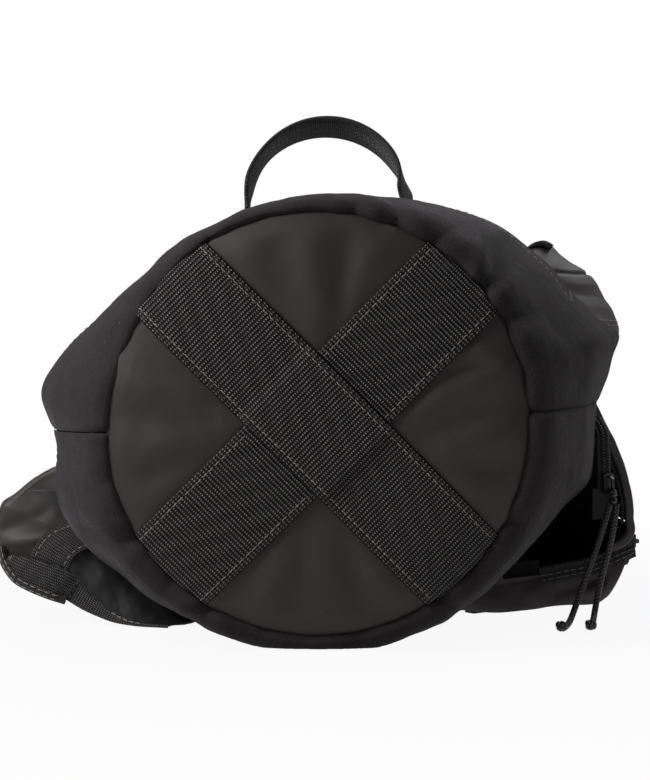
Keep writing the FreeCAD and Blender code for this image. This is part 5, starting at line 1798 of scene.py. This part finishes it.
def flapPieces(spec):
    keys = [p[1] for p in spec["line"]]
    zs = np.linspace(keys[0], keys[-1], 70)
    line = smoothThrough(keys, spec["line"], zs)
    slope = unit(np.gradient(line, axis=0))
    out = np.stack([slope[:, 1], -slope[:, 0]], 1)
    ys = np.linspace(spec["front"] - 1, spec["back"], 90)
    edge = np.minimum(zs - zs[0], zs[-1] - zs)[:, None]
    side = np.minimum(ys - ys[0], ys[-1] - ys)[None, :]
    swell = np.clip(np.minimum(edge, side) / 5.0, 0, 1) ** 0.5
    flat = np.stack(np.meshgrid(zs, ys, indexing="ij"), -1)
    places = np.concatenate([flat, 0 * flat[..., :1]], -1).reshape(-1, 3)
    bump = softNoise(places, 26.0, 31.0).reshape(swell.shape) * 1.3 * swell
    cloth = Cloth()
    for face in (1, -1):
        high = face * (0.6 + 1.9 * swell) + bump
        grid = np.stack([line[:, None, 0] + out[:, None, 0] * high, np.tile(ys, (len(zs), 1)),
                         line[:, None, 1] + out[:, None, 1] * high], -1)
        cloth.grid(grid, flip=face > 0)
    # a strip round the rim joins the two faces
    first, second = [points.reshape(len(zs), len(ys), 3) for points in cloth.points]
    cloth.grid(np.stack([np.concatenate([face[0], face[:, -1], face[-1, ::-1], face[::-1, 0]])
                         for face in (first, second)], 1))
    piece = cloth.make("compartmentFlap", bodyNylon,
                       replaces=["compartment_flap"])
    # nylon binding folded over the flap's front edge, with a row of stitches on its front
    bound = Cloth()
    front = spec["front"] - 0.3
    middle = front - spec["boundWidth"] / 2
    path = np.stack([line[:, 0] - 1.2, np.full(len(line), middle), line[:, 1]], 1)
    low = np.array([(159.5, -0.8, 41.2), (165.5, -0.4, 43.0), (169.6, 0.0, 46.0),
                    (171.6, 0.0, 50.0)])
    low[:, 1] += middle
    high = np.array([(156.0, 1.2, 110.0), (153.4, 2.6, 117.0), (150.4, 4.5, 124.0)])
    high[:, 1] += middle
    path = evenLine(smoothLine(np.vstack([low, path[4::6], high])), spec["boundStep"])
    far = np.arange(len(path)) * spec["boundStep"]
    tangent = unit(np.gradient(path, axis=0))
    outward = np.stack([tangent[:, 2], 0 * far, -tangent[:, 0]], 1)
    turn = np.linspace(0, 2 * math.pi, 30, endpoint=False)
    wide = 2.4 * np.sign(np.cos(turn)) * np.abs(np.cos(turn)) ** 0.6
    long = spec["boundWidth"] / 2 * np.sign(np.sin(turn)) * np.abs(np.sin(turn)) ** 0.6
    rib = 1 + 0.09 * np.sin(far / 6.5)[:, None] * np.cos(far / 17.0)[:, None]
    rib = rib * np.clip(1 - (path[:, 2] - 100.0) / 34.0, 0.3, 1)[:, None]
    grid = (path[:, None] + outward[:, None] * (wide[None] * rib)[..., None]
            + np.array((0, 1, 0)) * (long[None] * rib)[..., None])
    maps = np.stack([np.tile(turn * 3.2, (len(path), 1)), np.tile(far[:, None], (1, 30))], -1)
    bound.sleeve(grid, maps)
    bound.make("flapBinding", bodyNylon, replaces=["flap_binding"])
    hem = Cloth()
    row = path + outward * -0.6 + np.array((0, -1, 0)) * (spec["boundWidth"] / 2 + 0.1)
    sew(hem, row[14:-6], (0.0, -1.0, 0.0), 87, pitch=3.6)
    hem.make("flapHemStitches", darkThread)
    # the zip's other half along the inner face of the flap
    flat = line - out * spec["behind"]
    inner = np.stack([flat[:, 0], np.full(len(flat), front - 4.0), flat[:, 1]], 1)
    normals = np.tile((-0.9, -0.45, 0.0), (len(inner), 1))
    teeth = Cloth()
    coilTeeth(teeth, inner, normals, zipSpec)
    teeth.make("flapCoil", coilPlastic)
    tape = Cloth()
    across = np.tile((0.15, 1.0, 0.0), (len(inner), 1))
    zipTapeStrip(tape, inner + np.array((1.0, 0.6, 0)), across, -1.2, 8.0)
    tape.make("flapTape", zipTape, replaces=["flap_zip_half"],
              thickness=spec["tape"])
    sewn = Cloth()
    for far in (3.4, 5.6):
        row = inner + np.array((0.3, far, 0))
        sew(sewn, row, (-1.0, -0.1, 0.0), 85)
    sewn.make("flapStitches", thread)


flapPieces(flapSpec)


labelSpec = {"thickness": 0.45, "outer": 1.4, "inner": 0.8}


def bareLabel(name, node, bend, spec):
    # a plain folded woven label, sewn in at one edge and curling a little
    low, high = [np.array(v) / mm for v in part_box(node)]
    cloth = Cloth()
    xs = np.linspace(low[0], high[0], 22)
    zs = np.linspace(low[2], high[2], 14)
    grid = np.zeros((14, 22, 3))
    for r, z in enumerate(zs):
        for c, x in enumerate(xs):
            u = (x - xs[0]) / (xs[-1] - xs[0])
            grid[r, c] = (x, low[1] - bend * math.sin(u * 2.2) ** 2 - 0.2,
                          z + 0.6 * math.sin(u * 3.0))
    cloth.grid(grid)
    cloth.make(name, labelCloth, replaces=[node], thickness=spec["thickness"])


bareLabel("outerLabel", "outer_label", labelSpec["outer"], labelSpec)
bareLabel("innerLabel", "inner_label", labelSpec["inner"], labelSpec)
print("compartment made")


# webbing at the lower left corner

cornerSpec = {
    "loop": {"rails": [[(-131, -98, 55.5), (-143, -103.5, 52.2), (-149.5, -105.5, 47.8),
                        (-154.5, -105.5, 41),
                        (-157, -103.5, 34.5)],
                       [(-120, -100, 42.5), (-127.3, -105.5, 40.2), (-132.5, -107.5, 36.4),
                        (-135.4, -107, 31.5),
                        (-136, -104, 27.5)]], "bow": 1.0},
    "tab": {"rails": [[(-168.5, -101.5, 37.0), (-157, -105.5, 35.8), (-145, -107.2, 32.8),
                       (-136, -107, 29.6),
                       (-130, -105, 24.5)],
                      [(-169.5, -103.5, 30.5), (-164, -105.5, 24.8), (-155.6, -107, 20.6),
                       (-146, -107, 16.8),
                       (-137.5, -105, 14.2)]], "bow": 1.2, "lengthwise": True},
    "tail": {"rails": [[(-131, -104.5, 25.5), (-123, -106, 17.8), (-115.5, -108.5, 11.0),
                        (-108, -112, 6.0),
                        (-100, -116.5, 3.6), (-90, -121, 2.9), (-80, -124, 2.3)],
                       [(-138, -103.5, 13.6), (-128, -106, 8.0), (-118.5, -108.5, 4.2),
                        (-109.8, -111.5, 1.8),
                        (-99, -116, 1.0), (-89, -120, 1.0), (-80, -123, 1.0)]], "bow": 0.5},
    "rim": [(-174, -100, 42), (-172, -102.5, 35), (-168.5, -104.5, 29), (-163.5, -106, 23.8),
            (-155.4, -107, 19.6), (-146, -107, 15.8), (-137.5, -105, 12.8)],
    "ribPitch": 1.5, "relief": 0.26, "thickness": 1.4,
}


def ruledWeb(name, spec, options, node):
    # ribbed webbing stretched between two rails; its ribs run across, or along it when so marked
    along = np.linspace(0, 1, 280)
    rails = [smoothThrough(np.linspace(0, 1, len(rail)), rail, along) for rail in spec["rails"]]
    share = np.linspace(0, 1, 45)
    grid = rails[0][:, None] * (1 - share)[None, :, None] + rails[1][:, None] * share[None, :, None]
    normals = turnTo(gridNormals(grid, False), (120, 20), (0.0, -1.0, 0.0))
    wide = np.linalg.norm(rails[1] - rails[0], axis=1)[:, None] * (share[None, :] - 0.5)
    far = distanceAlong((rails[0] + rails[1]) / 2)[:, None] + 0 * wide
    place, other = (wide, far) if spec.get("lengthwise") else (far, wide)
    lift = np.abs(np.sin(math.pi * place / options["ribPitch"])) * options["relief"]
    lift = lift + spec["bow"] * np.sin(math.pi * share)[None, :]
    grid = grid + normals * lift[..., None]
    grid[..., 2] = np.maximum(grid[..., 2], 0.9)
    cloth = Cloth()
    cloth.grid(grid, flip=True, maps=np.stack([other, place], -1))
    cloth.make(name, narrowWebbing, replaces=[node],
               thickness=options["thickness"], offset=0.0)
    return grid + normals * (options["thickness"] / 2), normals


def cornerWebbing(spec):
    sewn = Cloth()

    def sewPart(grid, normals, rows, columns, seed):
        sew(sewn, grid[rows, columns], normals[rows, columns], seed)

    grid, normals = ruledWeb("cornerTail", spec["tail"], spec, "corner_tab_left")
    sewPart(grid, normals, 8, slice(1, -1), 94)
    sewPart(grid, normals, slice(120, 230), 6, 96)
    grid, normals = ruledWeb("cornerLoop", spec["loop"], spec, "side_loop_left")
    for column in (5, -6):
        sewPart(grid, normals, slice(8, -8), column, 95)
    grid, normals = ruledWeb("cornerTab", spec["tab"], spec, "corner_tab_left")
    sewPart(grid, normals, 10, slice(1, -1), 91)
    rim = smoothThrough(np.linspace(0, 1, len(spec["rim"])), spec["rim"], np.linspace(0, 1, 160))
    hem = Cloth()
    hem.tube(rim, 2.3 + 0.12 * np.abs(np.sin(np.arange(160) * 0.9)), 14)
    hem.make("cornerTabHem", binding)
    for lift in ((0.6, -2.5, 1.2), (-0.4, -2.4, -1.0)):
        sew(sewn, rim[4:-4] + np.array(lift), (0.0, -1.0, 0.2), 92)
    sewn.make("cornerStitches", thread)


cornerWebbing(cornerSpec)


# shoulder straps under the back

shoulderSpec = {"half": 28.0, "centre": 62.0, "front": -44.2, "back": 187.8, "high": 9.4,
                "edge": 4.0,
                "inset": 4.5, "piping": 2.0, "fill": 0.6}


def shoulderStrap(side, spec):
    centre = spec["centre"] * (1 if side == "right" else -1)
    # half width along the strap: a round lower end and a straight run to the top
    turn = np.linspace(0, math.pi / 2, 26)[:-1]
    ys = np.concatenate([spec["front"] + spec["half"] * (1 - np.cos(turn)),
                         np.linspace(spec["front"] + spec["half"], spec["back"], 90)])
    reach = np.minimum((ys - spec["front"]) / spec["half"], 1)
    half = np.maximum(spec["half"] * np.sqrt(np.maximum(1 - (1 - reach) ** 2, 0)), 0.4)
    share = np.linspace(-1, 1, 41)
    x = centre + share[None] * half[:, None]
    y = np.tile(ys[:, None], (1, len(share)))
    fromEdge = np.minimum((1 - np.abs(share))[None] * half[:, None], (ys - spec["front"])[:, None])
    fromEdge = np.minimum(fromEdge, (spec["back"] + 3 - ys)[:, None])
    puff = 1 - np.exp(-fromEdge / spec["edge"])
    places = np.stack([x, y, 0 * x], -1).reshape(-1, 3)
    rumple = softNoise(places, 20.0, 41.0).reshape(x.shape) * 0.35
    middle = spec["high"] / 2
    cloth = Cloth()
    for face in (1, -1):
        z = middle + face * (0.9 + (middle - 1.2) * puff) + rumple * puff
        z = np.clip(z, 0.15, spec["high"] - 0.1)
        cloth.grid(np.stack([x, y, z], -1), flip=face < 0)
    piece = cloth.make("shoulderStrap" + side.capitalize(), spacerMesh,
                       replaces=["shoulder_strap_" + side])
    edge = Cloth()
    rim = np.vstack([np.stack([x[:, 0], ys], 1)[::-1], np.stack([x[:, -1], ys], 1)])
    rim = evenLine(rim, 1.5)
    path = np.stack([rim[:, 0], rim[:, 1], np.full(len(rim), middle)], 1)
    edge.tube(path, spec["piping"], 10)
    edge.make("shoulderStrapEdge" + side.capitalize(), binding)
    sewn = Cloth()
    inset = spec["inset"]
    away = rim[:, 0] - centre
    row = np.stack([centre + np.sign(away) * np.maximum(np.abs(away) - inset, 0),
                    np.maximum(rim[:, 1], spec["front"] + inset), np.full(len(rim), 0.9)], 1)
    sew(sewn, row, (0.0, 0.0, -1.0), 97)
    sewn.make("shoulderStrapStitches" + side.capitalize(), darkThread)


for side in ("left", "right"):
    shoulderStrap(side, shoulderSpec)
print("straps made")


# carried over CAD pieces take a real finish

def finishNodes():
    finishes = {
        "zip_coil": coilPlastic, "slider_metal": enamel, "adjuster_plastic": acetal,
        "narrow_webbing": narrowWebbing,
        "binding_tape": binding, "lining_cloth": lining, "foam": foamFinish,
        "base_board": boardFinish,
        "label_cloth": labelCloth, "braided_cord": cordBraidPaintedLight, "bag_nylon": bodyNylon,
        "zip_tape": zipTape,
        "strap_mesh": spacerMesh, "band_canvas": canvas, "wide_webbing": webbing,
    }
    slots = {part["node"]: part["material_slot"] for part in frame["record"]["subparts"]}
    for piece in bpy.data.objects:
        node = piece.name.split(".")[0]
        if piece.type == "MESH" and node in slots:
            for holder in piece.material_slots:
                holder.material = finishes[slots[node]]


finishNodes()


# floor, light and finish

stageSpec = {
    "floorSize": 9.0, "floorGrey": "#c4c3c2", "fill": 0.10,
    # share of plain white in what the eye sees of the floor, under the bag and away from it
    "whiteNear": 0.93, "whiteFrom": 0.24, "whiteTo": 0.7,
    # lamp: place, size, power
    "keyLamp": ((-0.66, -0.44, 0.69), 0.40, 7.3),
    "rimLamp": ((0.9, 0.5, 1.5), 1.2, 15.0),
    "frontLamp": ((-0.7, -1.7, 0.9), 1.0, 2.0),
    "aim": (0.0, -0.05, 0.11),
}


def makeStage(spec):
    white = (1.0, 1.0, 1.0, 1.0)
    half = spec["floorSize"] / 2
    mesh = bpy.data.meshes.new("floor")
    mesh.from_pydata([(-half, -half, 0), (half, -half, 0), (half, half, 0), (-half, half, 0)], [],
                     [(0, 1, 2, 3)])
    floor = bpy.data.objects.new("floor", mesh)
    bpy.context.scene.collection.objects.link(floor)
    floor.location = (0.0, 0.0, -0.0004)
    material, tree = startMaterial("paperFloor")
    rays = addNode(tree, "LightPath").outputs
    seen = sumOf(tree, "MAXIMUM", rays["Is Camera Ray"], rays["Is Glossy Ray"])
    seen = sumOf(tree, "MAXIMUM", seen, rays["Is Transmission Ray"])
    place = addNode(tree, "NewGeometry")
    far = addNode(tree, "VectorMath", {"operation": "LENGTH"}, {0: place.outputs["Position"]})
    paling = addNode(tree, "MapRange", {"From Min": spec["whiteFrom"], "From Max": spec["whiteTo"],
                                        "To Min": spec["whiteNear"], "To Max": 1.0},
                     {"Value": far.outputs["Value"]})
    share = sumOf(tree, "MULTIPLY", seen, paling.outputs["Result"])
    paper = addNode(tree, "BsdfDiffuse", {"Color": linear(spec["floorGrey"])})
    bright = addNode(tree, "Emission", {"Color": white, "Strength": 1.0})
    mixed = addNode(tree, "MixShader", {}, {0: share, 1: paper.outputs["BSDF"],
                                            2: bright.outputs["Emission"]})
    addNode(tree, "OutputMaterial", {}, {"Surface": mixed.outputs["Shader"]})
    mesh.materials.append(material)
    world = bpy.data.worlds.new("studio")
    world.use_nodes = True
    tree = world.node_tree
    tree.nodes.clear()
    rays = addNode(tree, "LightPath").outputs
    seen = sumOf(tree, "MAXIMUM", rays["Is Camera Ray"], rays["Is Transmission Ray"])
    soft, plain = [addNode(tree, "Background", {"Color": white, "Strength": strength})
                   for strength in (spec["fill"], 1.0)]
    mixed = addNode(tree, "MixShader", {}, {0: seen, 1: soft.outputs["Background"],
                                            2: plain.outputs["Background"]})
    addNode(tree, "OutputWorld", {}, {"Surface": mixed.outputs["Shader"]})
    bpy.context.scene.world = world
    for name in ("keyLamp", "rimLamp", "frontLamp"):
        place, size, power = spec[name]
        data = bpy.data.lights.new(name, "AREA")
        data.size = size
        data.energy = power
        lamp = bpy.data.objects.new(name, data)
        lamp.location = place
        aim = Vector(spec["aim"]) - Vector(place)
        lamp.rotation_euler = aim.to_track_quat("-Z", "Y").to_euler()
        bpy.context.scene.collection.objects.link(lamp)


makeStage(stageSpec)
bpy.context.scene.view_settings.view_transform = "Standard"
print("stage made")
